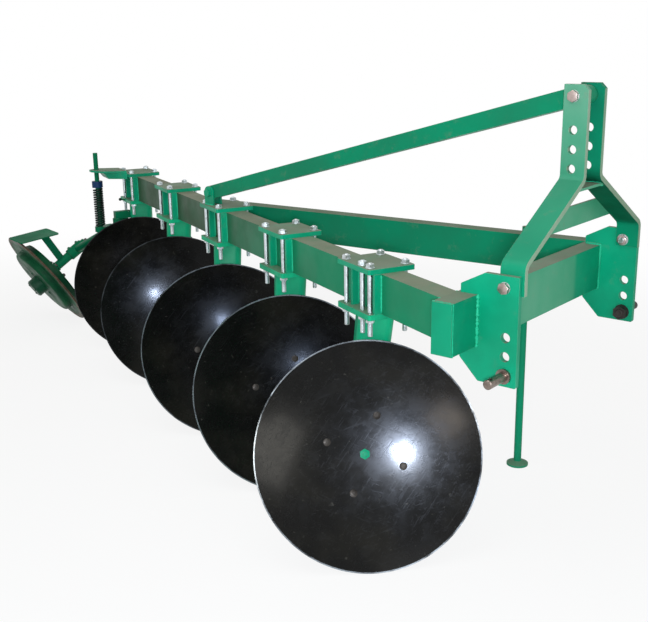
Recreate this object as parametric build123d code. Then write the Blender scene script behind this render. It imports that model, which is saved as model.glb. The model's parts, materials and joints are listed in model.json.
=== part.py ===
from build123d import *
import math
import os

# Mounted plough with five discs, drawn as it parks: on its discs, furrow wheel and stand.
# Sizes are millimetres and degrees. X points forward to the tractor, Y to the left, Z up.
# While it is drawn, x = 0 is the front edge of the hitch plates, y = 0 the middle between
# them and z = 0 the ground. The last lines move it all to the middle of its footprint.

fit_gap = 0.3
frame_top = 875
cut_reach = 6000
bolt_tail = 5

# Cross tube: a box section right through both hitch plates, with a closed stub each side.
cross_depth = 65
cross_height = 150
cross_wall = 8
cross_front = -128
cross_half_length = 543
cross_cap = 6

# Hitch plates, with the spread and the holes of a category 2 linkage.
pin_spread = 825
plate_thick = 16
plate_width = 181
plate_top = 940
plate_bottom = 625
plate_top_cut = (75, 39)
plate_bottom_cut = (61, 62)
plate_corner = 5
link_hole_x = -37
link_hole_pitch = 55
link_hole_radius = 14.25
link_hole_count = 2

# Lower hitch pins, which sit below the two spare holes.
pin_level = 656
pin_radius = 14
pin_reach = 92
pin_collar_radius = 22
pin_collar_thick = 8
pin_nut_across = 41
pin_nut_thick = 20
pin_washer_radius = 25
pin_washer_thick = 4
pin_tip_chamfer = 3
linch_hole_radius = 5.5
linch_hole_inset = 15

# Mast: two bent flat bars, a cross bar behind their slopes and a spacer between them.
mast_width = 75
mast_thick = 16
mast_front = 7
mast_foot = 884.5
mast_lower_bend = 966
mast_upper_bend = 1157
mast_bend_radius = 26
mast_top = 1427
mast_gap = 94
mast_corner_cut = 16
top_hole_x = -35
top_hole_radius = 13
top_hole_level = 1188
top_hole_pitch = 55.5
top_hole_count = 3
mast_bolt_x = -44
mast_bolt_level = 906
mast_bolt_radius = 10
tie_bottom = 999
tie_height = 65
tie_thick = 8
tie_inset = 6
spacer_level = 1127
spacer_thick = 8
spacer_depth = 65

# Top stay: a box section with a boss at the mast and a flat eye at the third clamp.
stay_bolt_level = 1394
stay_bolt_radius = 10
stay_bolt_head = 30
stay_width = 50
stay_height = 55
stay_wall = 5
stay_boss_radius = 24
stay_eye_thick = 30
stay_eye_length = 230
lug_offset = (34, 43)
lug_thick = 8
lug_width = 55
lug_height = 51
lug_gap = 1

# Main beam: the slanting box section that carries the discs.
beam_width = 80
beam_height = 125
beam_wall = 8
beam_angle = 23.64
beam_tail = 110
first_clamp = (-561.7, -294.5)
clamp_pitch = 627.4

# Clamps: a plate on the beam and four studs down to the flange of each standard.
clamp_length = 205
clamp_width = 165
clamp_thick = 16
clamp_corner = 8
flange_thick = 18
stud_along = 150
stud_across = 125
stud_radius = 8
stud_gap = 1
stud_top = 3
stud_tail = 58
nut_across = 24
nut_thick = 13
rib_places = (-100, 38)
rib_thick = 10
rib_width = 25

# Standards: a flange, a tapering leg and a bearing housing in one casting.
leg_top = (90, 118)
leg_foot = (80, 100)
leg_round = 28
housing_radius = 65
housing_front = 60
housing_rear = 75
housing_edge = 8
housing_cap_radius = 50
housing_cap_thick = 12
bore_depth = 120

# Discs: a dished blade bolted to a flanged shaft that turns in the housing.
disc_radius = 355
disc_thick = 6
dish_radius = 700
edge_bevel = 14
edge_land = 1.5
disc_angle = -44
disc_tilt = 21.7
dish_seat = 103.3

# Middle of each blade's rim from the middle of its clamp, along X and along Y.
disc_places = (
    (112, -185),
    (133, -163),
    (164, -189),
    (124, -159),
    (155, -152),
)
disc_count = len(disc_places)

# Shafts that carry the blades: a flange whose face follows the blade's back, a neck and a journal.
shaft_radius = 29.5
shaft_gap = 0.5
shaft_end_gap = 5
hub_gap = 6
hub_neck_radius = 55
hub_neck_length = 18
hub_flange_radius = 150
hub_flange_thick = 12

# Brace: a box section from the left stub back to the main beam.
brace_width = 65
brace_height = 125
brace_wall = 6
brace_angle = 4.27
brace_front = 458.5

# Parking stand: a rod with a foot that slides in a sleeve on the brace's right face.
stand_place = -400
stand_radius = 14
stand_foot_radius = 40
stand_foot_thick = 7
stand_foot_cone = 9
stand_top = 911
stand_collar_radius = 17
stand_collar_height = 25
sleeve_radius = 21
sleeve_top = 865
sleeve_height = 110
sleeve_gap = 0.5
sleeve_pad_width = 26
sleeve_pad_thick = 5
lock_radius = 8
lock_length = 24

# Furrow wheel, leaning into the corner of the furrow behind the last disc.
wheel_radius = 305
wheel_heading = 254.04
wheel_lean = 33.54
wheel_place = (-3475, 498)
rim_thick = 10
drum_radius = 210
drum_front = 43
drum_back = -46
drum_round = 18
drum_wall = 14
groove_width = 5
groove_depth = 8
back_ring_radius = 205
back_ring_back = -52
wheel_face_thick = 10
wheel_hub_radius = 45
axle_radius = 20
axle_gap = 0.5
axle_end = 50
axle_end_gap = 6
cap_radius = 53
cap_length = 54
cap_edge = 7
cap_wall = 12

# Wheel gear: an arm and a bracket at the last clamp, a sprung rod and the wheel's crank.
gear_rod_offset = (80, 207)
gear_rod_radius = 12
gear_rod_top = 993
gear_rod_tail = 26
arm_bottom = 862
arm_top = 905
arm_plate_thick = 10
arm_foot = (-140, 15)
arm_end = (-85, 35)
arm_end_inset = (42, 17)
arm_shoulder_inset = (7, 17)
arm_shoulder = (-90, 60)
arm_tip = (-18, 18)
arm_tip_reach = 33
collar_radius = 28
collar_top = 844
collar_height = 33
spring_radius = 27
spring_wire = 8
spring_pitch = 12.5
seat_radius = 30
seat_thick = 28
seat_level = 600
rod_nut_across = 36
rod_nut_thick = 16
pivot_offset = (42, 106)
pivot_level = 614
pivot_radius = 12
pivot_head_radius = 17
pivot_head_thick = 6
eye_radius = 26
eye_width = 42
ear_thick = 10
ear_radius = 27
bracket_size = 38
bracket_top = 680
crank_radius = 21
crank_bar_radius = 25
crank_bar_length = 218
crank_bar_rise = 17
crank_sleeve_radius = 33
crank_sleeve_start = 100
crank_sleeve_length = 95
plate_gap = 5
axle_plate = 105
axle_plate_thick = 20
axle_plate_corner = 12

# Scraper beside the top of the wheel's rim.
scraper_offset = (43, -83, 265)
scraper_run = (-2.7, 249.6, 14.1)
scraper_side = (118.8, 2.2, -16.7)
scraper_length = 250
scraper_width = 120
scraper_thick = 6
scraper_corner = 14
scraper_bar_width = 40
scraper_bar_thick = 10
scraper_bar_setback = 27
scraper_bar_along = 41


def direction(azimuth, elevation):
    """Unit vector at an azimuth from straight ahead and an elevation above level."""
    level = math.cos(math.radians(elevation))
    x = level * math.cos(math.radians(azimuth))
    y = level * math.sin(math.radians(azimuth))
    return Vector(x, y, math.sin(math.radians(elevation)))


def block(low, high):
    """Box between two opposite corners."""
    size = [b - a for a, b in zip(low, high)]
    middle = [(a + b) / 2 for a, b in zip(low, high)]
    return Pos(*middle) * Box(*size)


def rod(radius, start, end):
    """Round bar between two points."""
    span = Vector(*end) - Vector(*start)
    return Plane(Vector(*start), z_dir=span) * Pos(0, 0, span.length / 2) * Cylinder(radius, span.length)


def box_section(start, end, width, height, wall):
    """Box section along +X between two stations, with its flat top at z = 0."""
    outline = Rectangle(width, height) - Rectangle(width - 2 * wall, height - 2 * wall)
    return Pos(start, 0, -height / 2) * extrude(Plane.YZ * outline, end - start)


def hexagon(across, thick):
    """Hexagonal nut standing on z = 0."""
    return extrude(RegularPolygon(across / 2, 6, major_radius=False), thick)


def turned(points):
    """Solid of revolution about Z from an outline of (radius, height) points."""
    return revolve(Plane.XZ * make_face(Polyline(*points, close=True)), Axis.Z)


def upright(points, thick, y):
    """Plate from an (x, z) outline, with its left face at y and its thickness to the right."""
    return Pos(0, y, 0) * extrude(Plane.XZ * make_face(Polyline(*points, close=True)), thick)


parts = {}

# Lines and places that several pieces share.
cross_rear = cross_front - cross_depth
plate_outer = pin_spread / 2
plate_inner = plate_outer - plate_thick
beam_frame = Plane((*first_clamp, frame_top), x_dir=direction(180 - beam_angle, 0), z_dir=(0, 0, 1))
clamp_frames = [beam_frame * Pos(i * clamp_pitch, 0, 0) for i in range(disc_count)]
last_frame = clamp_frames[-1]
flange_top = -beam_height
flange_bottom = flange_top - flange_thick
disc_axis = direction(disc_angle, disc_tilt)
disc_level = disc_radius * math.cos(math.radians(disc_tilt)) + edge_land * math.sin(math.radians(disc_tilt))
dish_depth = dish_radius - math.sqrt(dish_radius**2 - disc_radius**2)
behind_cross = block((cross_rear - cut_reach, -cut_reach, -cut_reach), (cross_rear, cut_reach, cut_reach))

# Cross tube and its two end caps.
tube_end = cross_half_length - cross_cap
cross = Rot(0, 0, 90) * box_section(-tube_end, tube_end, cross_depth, cross_height, cross_wall)
parts["cross_tube"] = Pos(cross_front - cross_depth / 2, 0, frame_top) * cross
caps = [
    block((cross_rear, min(y, y + sign * cross_cap), frame_top - cross_height),
          (cross_front, max(y, y + sign * cross_cap), frame_top))
    for sign, y in ((-1, -tube_end), (1, tube_end))
]
parts["end_caps"] = Compound(caps)

# Hitch plates, notched at the back for the cross tube.
plate_outline = [
    (0, plate_bottom), (0, plate_top),
    (-plate_width + plate_top_cut[0], plate_top), (-plate_width, plate_top - plate_top_cut[1]),
    (-plate_width, plate_bottom + plate_bottom_cut[1]), (-plate_width + plate_bottom_cut[0], plate_bottom),
]
notch = block((cross_rear, -pin_spread, frame_top - cross_height), (cross_front, pin_spread, frame_top))
plate_bores = [
    (link_hole_x, pin_level, pin_radius + fit_gap),
    (mast_bolt_x, mast_bolt_level, mast_bolt_radius + fit_gap),
]
for step in range(link_hole_count):
    plate_bores.append((link_hole_x, pin_level + (step + 1) * link_hole_pitch, link_hole_radius))
for side, sign in (("right", -1), ("left", 1)):
    plate = upright(plate_outline, plate_thick, max(sign * plate_outer, sign * plate_inner))
    plate = fillet(plate.edges().filter_by(Axis.Y), plate_corner) - notch
    for x, z, radius in plate_bores:
        plate -= rod(radius, (x, 0, z), (x, sign * pin_spread, z))
    parts[f"hitch_plate_{side}"] = plate

    # Lower hitch pin: a washer and nut inside the plate, a collar outside, then the free end.
    stations = {
        "nut": plate_inner - pin_washer_thick - pin_nut_thick,
        "washer": plate_inner - pin_washer_thick,
        "tip": plate_outer + pin_reach,
    }
    shank_start = (link_hole_x, sign * (stations["nut"] - bolt_tail), pin_level)
    shank = rod(pin_radius, shank_start, (link_hole_x, sign * stations["tip"], pin_level))
    shank = chamfer(shank.edges().filter_by(GeomType.CIRCLE), pin_tip_chamfer)
    nut_plane = Plane((link_hole_x, sign * stations["washer"], pin_level), z_dir=(0, -sign, 0))
    pin = shank + nut_plane * hexagon(pin_nut_across, pin_nut_thick)
    pin += rod(pin_washer_radius, (link_hole_x, sign * stations["washer"], pin_level),
               (link_hole_x, sign * plate_inner, pin_level))
    pin += rod(pin_collar_radius, (link_hole_x, sign * plate_outer, pin_level),
               (link_hole_x, sign * (plate_outer + pin_collar_thick), pin_level))
    linch_y = sign * (stations["tip"] - linch_hole_inset)
    pin -= rod(linch_hole_radius, (link_hole_x, linch_y, pin_level - pin_collar_radius),
               (link_hole_x, linch_y, pin_level + pin_collar_radius))
    parts[f"lower_pin_{side}"] = pin

# Mast bars, bent twice on their way from the plates' inner faces to the top link holes.
mast_rear = mast_front - mast_width
mast_middle = mast_front - mast_width / 2
foot_y = plate_inner - mast_thick / 2
head_y = mast_gap / 2 + mast_thick / 2
slope = math.atan2(mast_upper_bend - mast_lower_bend, foot_y - head_y)
slope_half = mast_thick / 2 / math.sin(slope)
top_levels = [top_hole_level + i * top_hole_pitch for i in range(top_hole_count)]
mast_holes = [(top_hole_x, level, top_hole_radius) for level in top_levels]
mast_holes.append((link_hole_x, stay_bolt_level, stay_bolt_radius + fit_gap))


def slope_y(level):
    """Distance from the middle of the hitch to a bar's centre line at a level on its slope."""
    return foot_y - (level - mast_lower_bend) / math.tan(slope)


for side, sign in (("right", -1), ("left", 1)):
    corners = [(foot_y, mast_foot), (foot_y, mast_lower_bend), (head_y, mast_upper_bend), (head_y, mast_top)]
    line = FilletPolyline(*[(mast_middle, sign * y, z) for y, z in corners], radius=mast_bend_radius)
    section = Plane((mast_middle, sign * foot_y, mast_foot)) * Rectangle(mast_width, mast_thick)
    bar = sweep(section, path=line)
    bar = chamfer(bar.edges().filter_by(Axis.Y).group_by(Axis.Z)[-1].sort_by(Axis.X)[-1], mast_corner_cut)
    for x, z, radius in mast_holes:
        bar -= rod(radius, (x, -mast_gap, z), (x, mast_gap, z))
    bar -= rod(mast_bolt_radius + fit_gap, (mast_bolt_x, 0, mast_bolt_level),
               (mast_bolt_x, sign * pin_spread, mast_bolt_level))
    parts[f"mast_bar_{side}"] = bar

# Cross bar behind the slopes, its ends cut to them, and the spacer between the bars.
tie_top = tie_bottom + tie_height
tie_ends = [slope_y(z) - tie_inset for z in (tie_bottom, tie_top)]
tie_outline = [(-tie_ends[0], tie_bottom), (tie_ends[0], tie_bottom),
               (tie_ends[1], tie_top), (-tie_ends[1], tie_top)]
tie = extrude(Plane.YZ * make_face(Polyline(*tie_outline, close=True)), tie_thick)
parts["mast_cross_bar"] = Pos(mast_rear - tie_thick, 0, 0) * tie
spacer_top = spacer_level + spacer_thick
gap_ends = [slope_y(z) - slope_half for z in (spacer_level, spacer_top)]
gap_outline = [(-gap_ends[0], spacer_level), (gap_ends[0], spacer_level),
               (gap_ends[1], spacer_top), (-gap_ends[1], spacer_top)]
spacer = extrude(Plane.YZ * make_face(Polyline(*gap_outline, close=True)), spacer_depth)
parts["mast_spacer"] = Pos(mast_middle - spacer_depth / 2, 0, 0) * spacer

# Bolts of the mast: one at each foot, and a long one through both bars and the stay.
bolts = []
for sign in (-1, 1):
    bar_face = sign * (plate_inner - mast_thick)
    bolt = rod(mast_bolt_radius, (mast_bolt_x, bar_face - sign * (nut_thick + bolt_tail), mast_bolt_level),
               (mast_bolt_x, sign * (plate_outer + nut_thick), mast_bolt_level))
    outside = Plane((mast_bolt_x, sign * plate_outer, mast_bolt_level), z_dir=(0, sign, 0))
    inside = Plane((mast_bolt_x, bar_face, mast_bolt_level), z_dir=(0, -sign, 0))
    bolt += outside * hexagon(stay_bolt_head, nut_thick)
    bolts.append(bolt + inside * hexagon(stay_bolt_head, nut_thick))
bar_face = mast_gap / 2 + mast_thick
bolt = rod(stay_bolt_radius, (link_hole_x, -bar_face - nut_thick, stay_bolt_level),
           (link_hole_x, bar_face + nut_thick + bolt_tail, stay_bolt_level))
for sign in (-1, 1):
    face = Plane((link_hole_x, sign * bar_face, stay_bolt_level), z_dir=(0, sign, 0))
    bolt += face * hexagon(stay_bolt_head, nut_thick)
bolts.append(bolt)
parts["mast_bolts"] = Compound([bolt.solids()[0] for bolt in bolts])

# Main beam, cut to the cross tube's rear face and open at its tail.
beam_end = (disc_count - 1) * clamp_pitch + beam_tail
beam = beam_frame * box_section(-2 * clamp_pitch, beam_end, beam_width, beam_height, beam_wall)
parts["main_beam"] = beam & behind_cross

# Brace, cut to the cross tube in front and to the main beam's left face behind.
brace_run = direction(180 + brace_angle, 0)
brace_frame = Plane((cross_rear, brace_front, frame_top), x_dir=brace_run, z_dir=(0, 0, 1))
brace = brace_frame * box_section(-brace_width, beam_end, brace_width, brace_height, brace_wall)
beam_side = -beam_width / 2
beside_beam = beam_frame * block((-cut_reach, -cut_reach, -cut_reach), (cut_reach, beam_side, cut_reach))
parts["brace_beam"] = brace & behind_cross & beside_beam

# Clamps. In each frame X runs back along the beam, Y to its right, and z = 0 is the beam's top.
studs = []
ribs = []
plates = []
outline = RectangleRounded(clamp_length, clamp_width, clamp_corner)
corners = [(sx * stud_along / 2, sy * stud_across / 2) for sx in (-1, 1) for sy in (-1, 1)]
for i, (frame, (rim_x, rim_y)) in enumerate(zip(clamp_frames, disc_places)):
    plate = extrude(outline, clamp_thick)
    flange = Pos(0, 0, flange_bottom) * extrude(outline, flange_thick)
    for x, y in corners:
        hole = Pos(x, y, 0) * Cylinder(stud_radius + stud_gap, 4 * beam_height)
        plate -= hole
        flange -= hole
        stud = rod(stud_radius, (x, y, flange_bottom - stud_tail), (x, y, clamp_thick + nut_thick + stud_top))
        stud += Pos(x, y, clamp_thick) * hexagon(nut_across, nut_thick)
        stud += Pos(x, y, flange_bottom - nut_thick) * hexagon(nut_across, nut_thick)
        studs.append(frame * stud.solids()[0])
    plates.append(frame * plate.solids()[0])
    for x in rib_places:
        rib = block((0, 0, flange_top), (rib_thick, rib_width, 0))
        ribs.append(frame * Pos(x - rib_thick / 2, beam_width / 2, 0) * rib)

    # Standard: the leg leans from its flange to the heart of the bearing housing.
    clamp = frame.position
    rim = Vector(clamp.X + rim_x, clamp.Y + rim_y, disc_level)
    heart = rim - disc_axis * (dish_seat + dish_depth)
    turn = Rot(0, 0, disc_angle)
    head = Pos(clamp.X, clamp.Y, frame_top + flange_bottom) * turn * RectangleRounded(*leg_top, leg_round)
    foot = Pos(*heart) * turn * RectangleRounded(*leg_foot, leg_round)
    hub_frame = Plane(heart, z_dir=disc_axis)
    housing = turned([
        (0, -housing_rear - housing_cap_thick), (housing_cap_radius, -housing_rear - housing_cap_thick),
        (housing_cap_radius, -housing_rear), (housing_radius - housing_edge, -housing_rear),
        (housing_radius, housing_edge - housing_rear), (housing_radius, housing_front), (0, housing_front),
    ])
    bore = Pos(0, 0, housing_front - bore_depth / 2) * Cylinder(shaft_radius + shaft_gap, bore_depth)
    standard = frame * flange + loft([foot, head]) + hub_frame * housing
    parts[f"standard_{i + 1}"] = standard - hub_frame * bore

    # Blade: its hollow side faces forward, to the right and up, and the bevel is behind its edge.
    hollow_z = dish_radius - math.sqrt(dish_radius**2 - (disc_radius / 2) ** 2)
    crown_radius = dish_radius + disc_thick
    bevel_radius = disc_radius - edge_bevel
    crown_z = [dish_radius - math.sqrt(crown_radius**2 - r**2) for r in (bevel_radius / 2, bevel_radius)]
    edge = (disc_radius, dish_depth)
    land = (disc_radius, dish_depth - edge_land)
    section = make_face([
        ThreePointArc((0, 0), (disc_radius / 2, hollow_z), edge),
        Line(edge, land),
        Line(land, (bevel_radius, crown_z[1])),
        ThreePointArc((bevel_radius, crown_z[1]), (bevel_radius / 2, crown_z[0]), (0, -disc_thick)),
        Line((0, -disc_thick), (0, 0)),
    ])
    dish_frame = hub_frame * Pos(0, 0, dish_seat)
    parts[f"disc_blade_{i + 1}"] = dish_frame * revolve(Plane.XZ * section, Axis.Z)

    # Hub: a shaft in the housing, a neck and a flange whose face follows the blade's back.
    dish_centre = dish_seat + dish_radius
    ball_radius = crown_radius + fit_gap
    neck = housing_front + hub_gap
    face_z = dish_centre - math.sqrt(ball_radius**2 - hub_flange_radius**2)
    shaft_end = housing_front - bore_depth + shaft_end_gap
    hub = turned([
        (0, shaft_end), (shaft_radius, shaft_end), (shaft_radius, neck),
        (hub_neck_radius, neck), (hub_neck_radius, neck + hub_neck_length),
        (hub_flange_radius, face_z - hub_flange_thick), (hub_flange_radius, face_z), (0, face_z),
    ])
    hub -= Pos(0, 0, dish_centre) * Sphere(ball_radius)
    parts[f"disc_hub_{i + 1}"] = hub_frame * hub

parts["clamp_plates"] = Compound(plates)
parts["clamp_studs"] = Compound(studs)
parts["beam_ribs"] = Compound(ribs)

# Top stay, from the mast's long bolt down to the pivot in its lug on the middle clamp.
stay_base = (clamp_frames[disc_count // 2] * Pos(*lug_offset, clamp_thick)).position
stay_pivot = stay_base + Vector(0, 0, lug_height)
stay_span = stay_pivot - Vector(link_hole_x, 0, stay_bolt_level)
stay_length = stay_span.length
across = Vector(-stay_span.Y, stay_span.X, 0)
stay_frame = Plane((link_hole_x, 0, stay_bolt_level), x_dir=stay_span, z_dir=stay_span.cross(across))
eye_start = stay_length - stay_eye_length
half_width = stay_width / 2
half_height = stay_height / 2
half_eye = stay_eye_thick / 2
tube = Pos(0, 0, half_height) * box_section(half_height, eye_start, stay_width, stay_height, stay_wall)
nose = block((0, -half_width, -half_height), (half_height, half_width, half_height))
nose += Rot(90, 0, 0) * Cylinder(half_height, stay_width)
stop = block((eye_start - stay_wall, -half_width, -half_height), (eye_start, half_width, half_height))
eye = block((eye_start, -half_eye, -half_height), (stay_length, half_eye, half_height))
eye += Pos(stay_length, 0, 0) * Rot(90, 0, 0) * Cylinder(half_height, stay_eye_thick)
stay = stay_frame * (tube + nose + eye + stop)
boss_frame = Plane((link_hole_x, 0, stay_bolt_level), z_dir=(0, 1, 0))
stay += boss_frame * Cylinder(stay_boss_radius, mast_gap - 2 * fit_gap)
stay -= boss_frame * Cylinder(stay_bolt_radius + fit_gap, 2 * mast_gap)
pivot_bore = Rot(90, 0, 0) * Cylinder(stay_bolt_radius + fit_gap, 2 * mast_gap)
stay -= stay_frame * Pos(stay_length, 0, 0) * pivot_bore
parts["top_stay"] = stay

# Lug on the middle clamp: two ears and their bolt.
lug_frame = Plane(stay_base, x_dir=(stay_span.X, stay_span.Y, 0), z_dir=(0, 0, 1))
ear_face = stay_eye_thick / 2 + lug_gap
ear_outside = ear_face + lug_thick
ear = Rectangle(lug_width, lug_height, align=(Align.CENTER, Align.MIN))
ear += Pos(0, lug_height) * Circle(lug_width / 2)
lug = rod(stay_bolt_radius, (0, -ear_outside, lug_height), (0, ear_outside, lug_height))
for sign in (-1, 1):
    lug += Pos(0, sign * (ear_face + lug_thick / 2) + lug_thick / 2, 0) * extrude(Plane.XZ * ear, lug_thick)
    lug += Plane((0, sign * ear_outside, lug_height), z_dir=(0, sign, 0)) * hexagon(stay_bolt_head, nut_thick)
parts["stay_lug"] = lug_frame * lug

# Stand sleeve, seated by a pad on the brace's right face, with the head of its lock pin.
to_sleeve = (cross_rear - stand_place) / math.cos(math.radians(brace_angle))
to_pad = sleeve_radius + sleeve_pad_thick
sleeve_frame = brace_frame * Pos(to_sleeve, brace_width / 2 + to_pad, sleeve_top - frame_top)
sleeve = Pos(0, 0, -sleeve_height / 2) * Cylinder(sleeve_radius, sleeve_height)
sleeve += block((-sleeve_pad_width / 2, -to_pad, -sleeve_height), (sleeve_pad_width / 2, 0, 0))
sleeve += rod(lock_radius, (0, 0, -sleeve_height / 2), (0, sleeve_radius + lock_length, -sleeve_height / 2))
sleeve -= Pos(0, 0, -sleeve_height / 2) * Cylinder(stand_radius + sleeve_gap, 2 * sleeve_height)
parts["stand_sleeve"] = sleeve_frame * sleeve

# Stand rod with its foot and its top collar.
cone_top = stand_foot_thick + stand_foot_cone
stand = turned([
    (0, 0), (stand_foot_radius, 0), (stand_foot_radius, stand_foot_thick), (stand_radius, cone_top),
    (stand_radius, stand_top - stand_collar_height), (stand_collar_radius, stand_top - stand_collar_height),
    (stand_collar_radius, stand_top), (0, stand_top),
])
parts["stand_leg"] = sleeve_frame * Pos(0, 0, -sleeve_top) * stand

# Furrow wheel. In its frame Z is the axle and points out of the hub cap.
lean = math.radians(wheel_lean)
wheel_level = wheel_radius * math.cos(lean) + rim_thick / 2 * math.sin(lean)
wheel_axis = direction(wheel_heading, -wheel_lean)
wheel_centre = Vector(*wheel_place, wheel_level)
wheel_frame = Plane(wheel_centre, z_dir=wheel_axis)
bore_radius = axle_radius + axle_gap
inner_radius = drum_radius - drum_wall
face_back = drum_front - wheel_face_thick
groove = (drum_back, drum_back + groove_width)
wheel = turned([
    (bore_radius, back_ring_back), (wheel_hub_radius, back_ring_back), (wheel_hub_radius, face_back),
    (inner_radius, face_back), (inner_radius, back_ring_back), (back_ring_radius, back_ring_back),
    (back_ring_radius, groove[0]), (drum_radius - groove_depth, groove[0]),
    (drum_radius - groove_depth, groove[1]), (drum_radius, groove[1]),
    (drum_radius, -rim_thick / 2), (wheel_radius, -rim_thick / 2), (wheel_radius, rim_thick / 2),
    (drum_radius, rim_thick / 2), (drum_radius, drum_front), (bore_radius, drum_front),
])
front_edge = wheel.edges().filter_by(GeomType.CIRCLE).group_by(Axis.Z)[-1].sort_by(SortBy.RADIUS)[-1]
parts["furrow_wheel"] = wheel_frame * fillet(front_edge, drum_round)
cap_top = drum_front + cap_length
cap = turned([
    (0, axle_end + axle_end_gap), (cap_radius - cap_wall, axle_end + axle_end_gap),
    (cap_radius - cap_wall, drum_front), (cap_radius, drum_front), (cap_radius, cap_top - cap_edge),
    (cap_radius - cap_edge, cap_top), (0, cap_top),
])
parts["wheel_cap"] = wheel_frame * cap

# Arm from the right edge of the last clamp's plate: a tapering body with a slanted end, and on it
# a plate with a tip that guides the sprung rod. Both are drawn in the clamp's frame.
rod_x, rod_y = gear_rod_offset
arm_edge = clamp_width / 2
plate_low = arm_top - arm_plate_thick - frame_top
arm_faces = []
for level, inset in zip((arm_bottom - frame_top, plate_low), arm_end_inset):
    arm_corners = [
        (rod_x + arm_foot[0], arm_edge), (rod_x + arm_foot[1], arm_edge),
        (rod_x + arm_end[1], rod_y - inset), (rod_x + arm_end[0], rod_y - inset),
    ]
    arm_faces.append(Pos(0, 0, level) * make_face(Polyline(*arm_corners, close=True)))
arm_plate_outline = [
    (rod_x + arm_foot[0], arm_edge), (rod_x + arm_foot[1], arm_edge),
    (rod_x + arm_shoulder[1], rod_y - arm_shoulder_inset[1]), (rod_x + arm_tip[1], rod_y + arm_tip_reach),
    (rod_x + arm_tip[0], rod_y + arm_tip_reach), (rod_x + arm_shoulder[0], rod_y - arm_shoulder_inset[0]),
]
arm_plate = extrude(make_face(Polyline(*arm_plate_outline, close=True)), arm_plate_thick)
arm_plate -= Pos(rod_x, rod_y, 0) * Cylinder(gear_rod_radius + fit_gap, 4 * arm_plate_thick)
parts["wheel_arm"] = last_frame * (loft(arm_faces, ruled=True) + Pos(0, 0, plate_low) * arm_plate)

# Sprung rod, through the arm's tip: its collar presses the spring on the crank's seat.
gear = Plane(last_frame * Pos(rod_x, rod_y, -frame_top))
seat_bottom = seat_level - seat_thick
gear_rod = rod(gear_rod_radius, (0, 0, seat_bottom - gear_rod_tail), (0, 0, gear_rod_top))
gear_rod += Pos(0, 0, seat_bottom - rod_nut_thick) * hexagon(rod_nut_across, rod_nut_thick)
parts["wheel_rod"] = gear * gear_rod
collar_low = collar_top - collar_height
collar = Pos(0, 0, collar_top - collar_height / 2) * Cylinder(collar_radius, collar_height)
collar -= Pos(0, 0, collar_low) * Cylinder(gear_rod_radius + fit_gap, 4 * collar_height)
parts["wheel_collar"] = gear * collar
coil_radius = spring_radius - spring_wire / 2
coil_low = seat_level + spring_wire / 2 + 2 * fit_gap
coil = Helix(spring_pitch, collar_low - spring_wire / 2 - 2 * fit_gap - coil_low, coil_radius)
wire = Plane(coil @ 0, z_dir=coil % 0) * RegularPolygon(spring_wire / 2, 6)
parts["wheel_spring"] = gear * Pos(0, 0, coil_low) * sweep(wire, path=coil, is_frenet=True)

# Crank: a bar in line with the wheel's axle, a clamped sleeve on it, an arm from the sleeve to an
# eye at the pivot, an end plate and the wheel's axle.
pivot = (last_frame * Pos(*pivot_offset, pivot_level - frame_top)).position
plate_face = back_ring_back - plate_gap
crank_end = wheel_centre + wheel_axis * (plate_face - axle_plate_thick)
bar_end = crank_end + Vector(0, 0, crank_bar_rise)
sleeve_start = bar_end - wheel_axis * crank_sleeve_start
sleeve_end = sleeve_start - wheel_axis * crank_sleeve_length
elbow = (sleeve_start + sleeve_end) / 2
crank_run = (elbow - pivot).normalized()
level_run = Vector(crank_run.X, crank_run.Y, 0).normalized()
pivot_side = Vector(level_run.Y, -level_run.X, 0)
bar_root = bar_end + wheel_axis * axle_plate_thick
crank = rod(crank_bar_radius, bar_root, bar_end - wheel_axis * crank_bar_length)
crank += rod(crank_sleeve_radius, sleeve_start, sleeve_end)
crank += rod(crank_radius, elbow, pivot)
crank += rod(eye_radius, pivot - pivot_side * (eye_width / 2), pivot + pivot_side * (eye_width / 2))
seat_frame = Plane(gear.origin, x_dir=level_run, z_dir=(0, 0, 1))
to_bar = (pivot - gear.origin).dot(seat_frame.y_dir)
crank += seat_frame * block((-seat_radius, to_bar, seat_bottom), (seat_radius, 0, seat_level))
crank += gear * rod(seat_radius, (0, 0, seat_bottom), (0, 0, seat_level))
plate_plane = Plane(wheel_centre, x_dir=Vector(0, 0, 1) - wheel_axis * wheel_axis.Z, z_dir=wheel_axis)
end_plate = extrude(RectangleRounded(axle_plate, axle_plate, axle_plate_corner), axle_plate_thick)
crank += plate_plane * Pos(0, 0, plate_face - axle_plate_thick) * end_plate
crank += rod(axle_radius, wheel_centre + wheel_axis * plate_face, wheel_centre + wheel_axis * axle_end)
crank -= rod(pivot_radius + fit_gap, pivot - pivot_side * eye_width, pivot + pivot_side * eye_width)
crank -= gear * rod(gear_rod_radius + fit_gap, (0, 0, seat_bottom - fit_gap), (0, 0, seat_level + fit_gap))
parts["wheel_crank"] = crank

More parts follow.
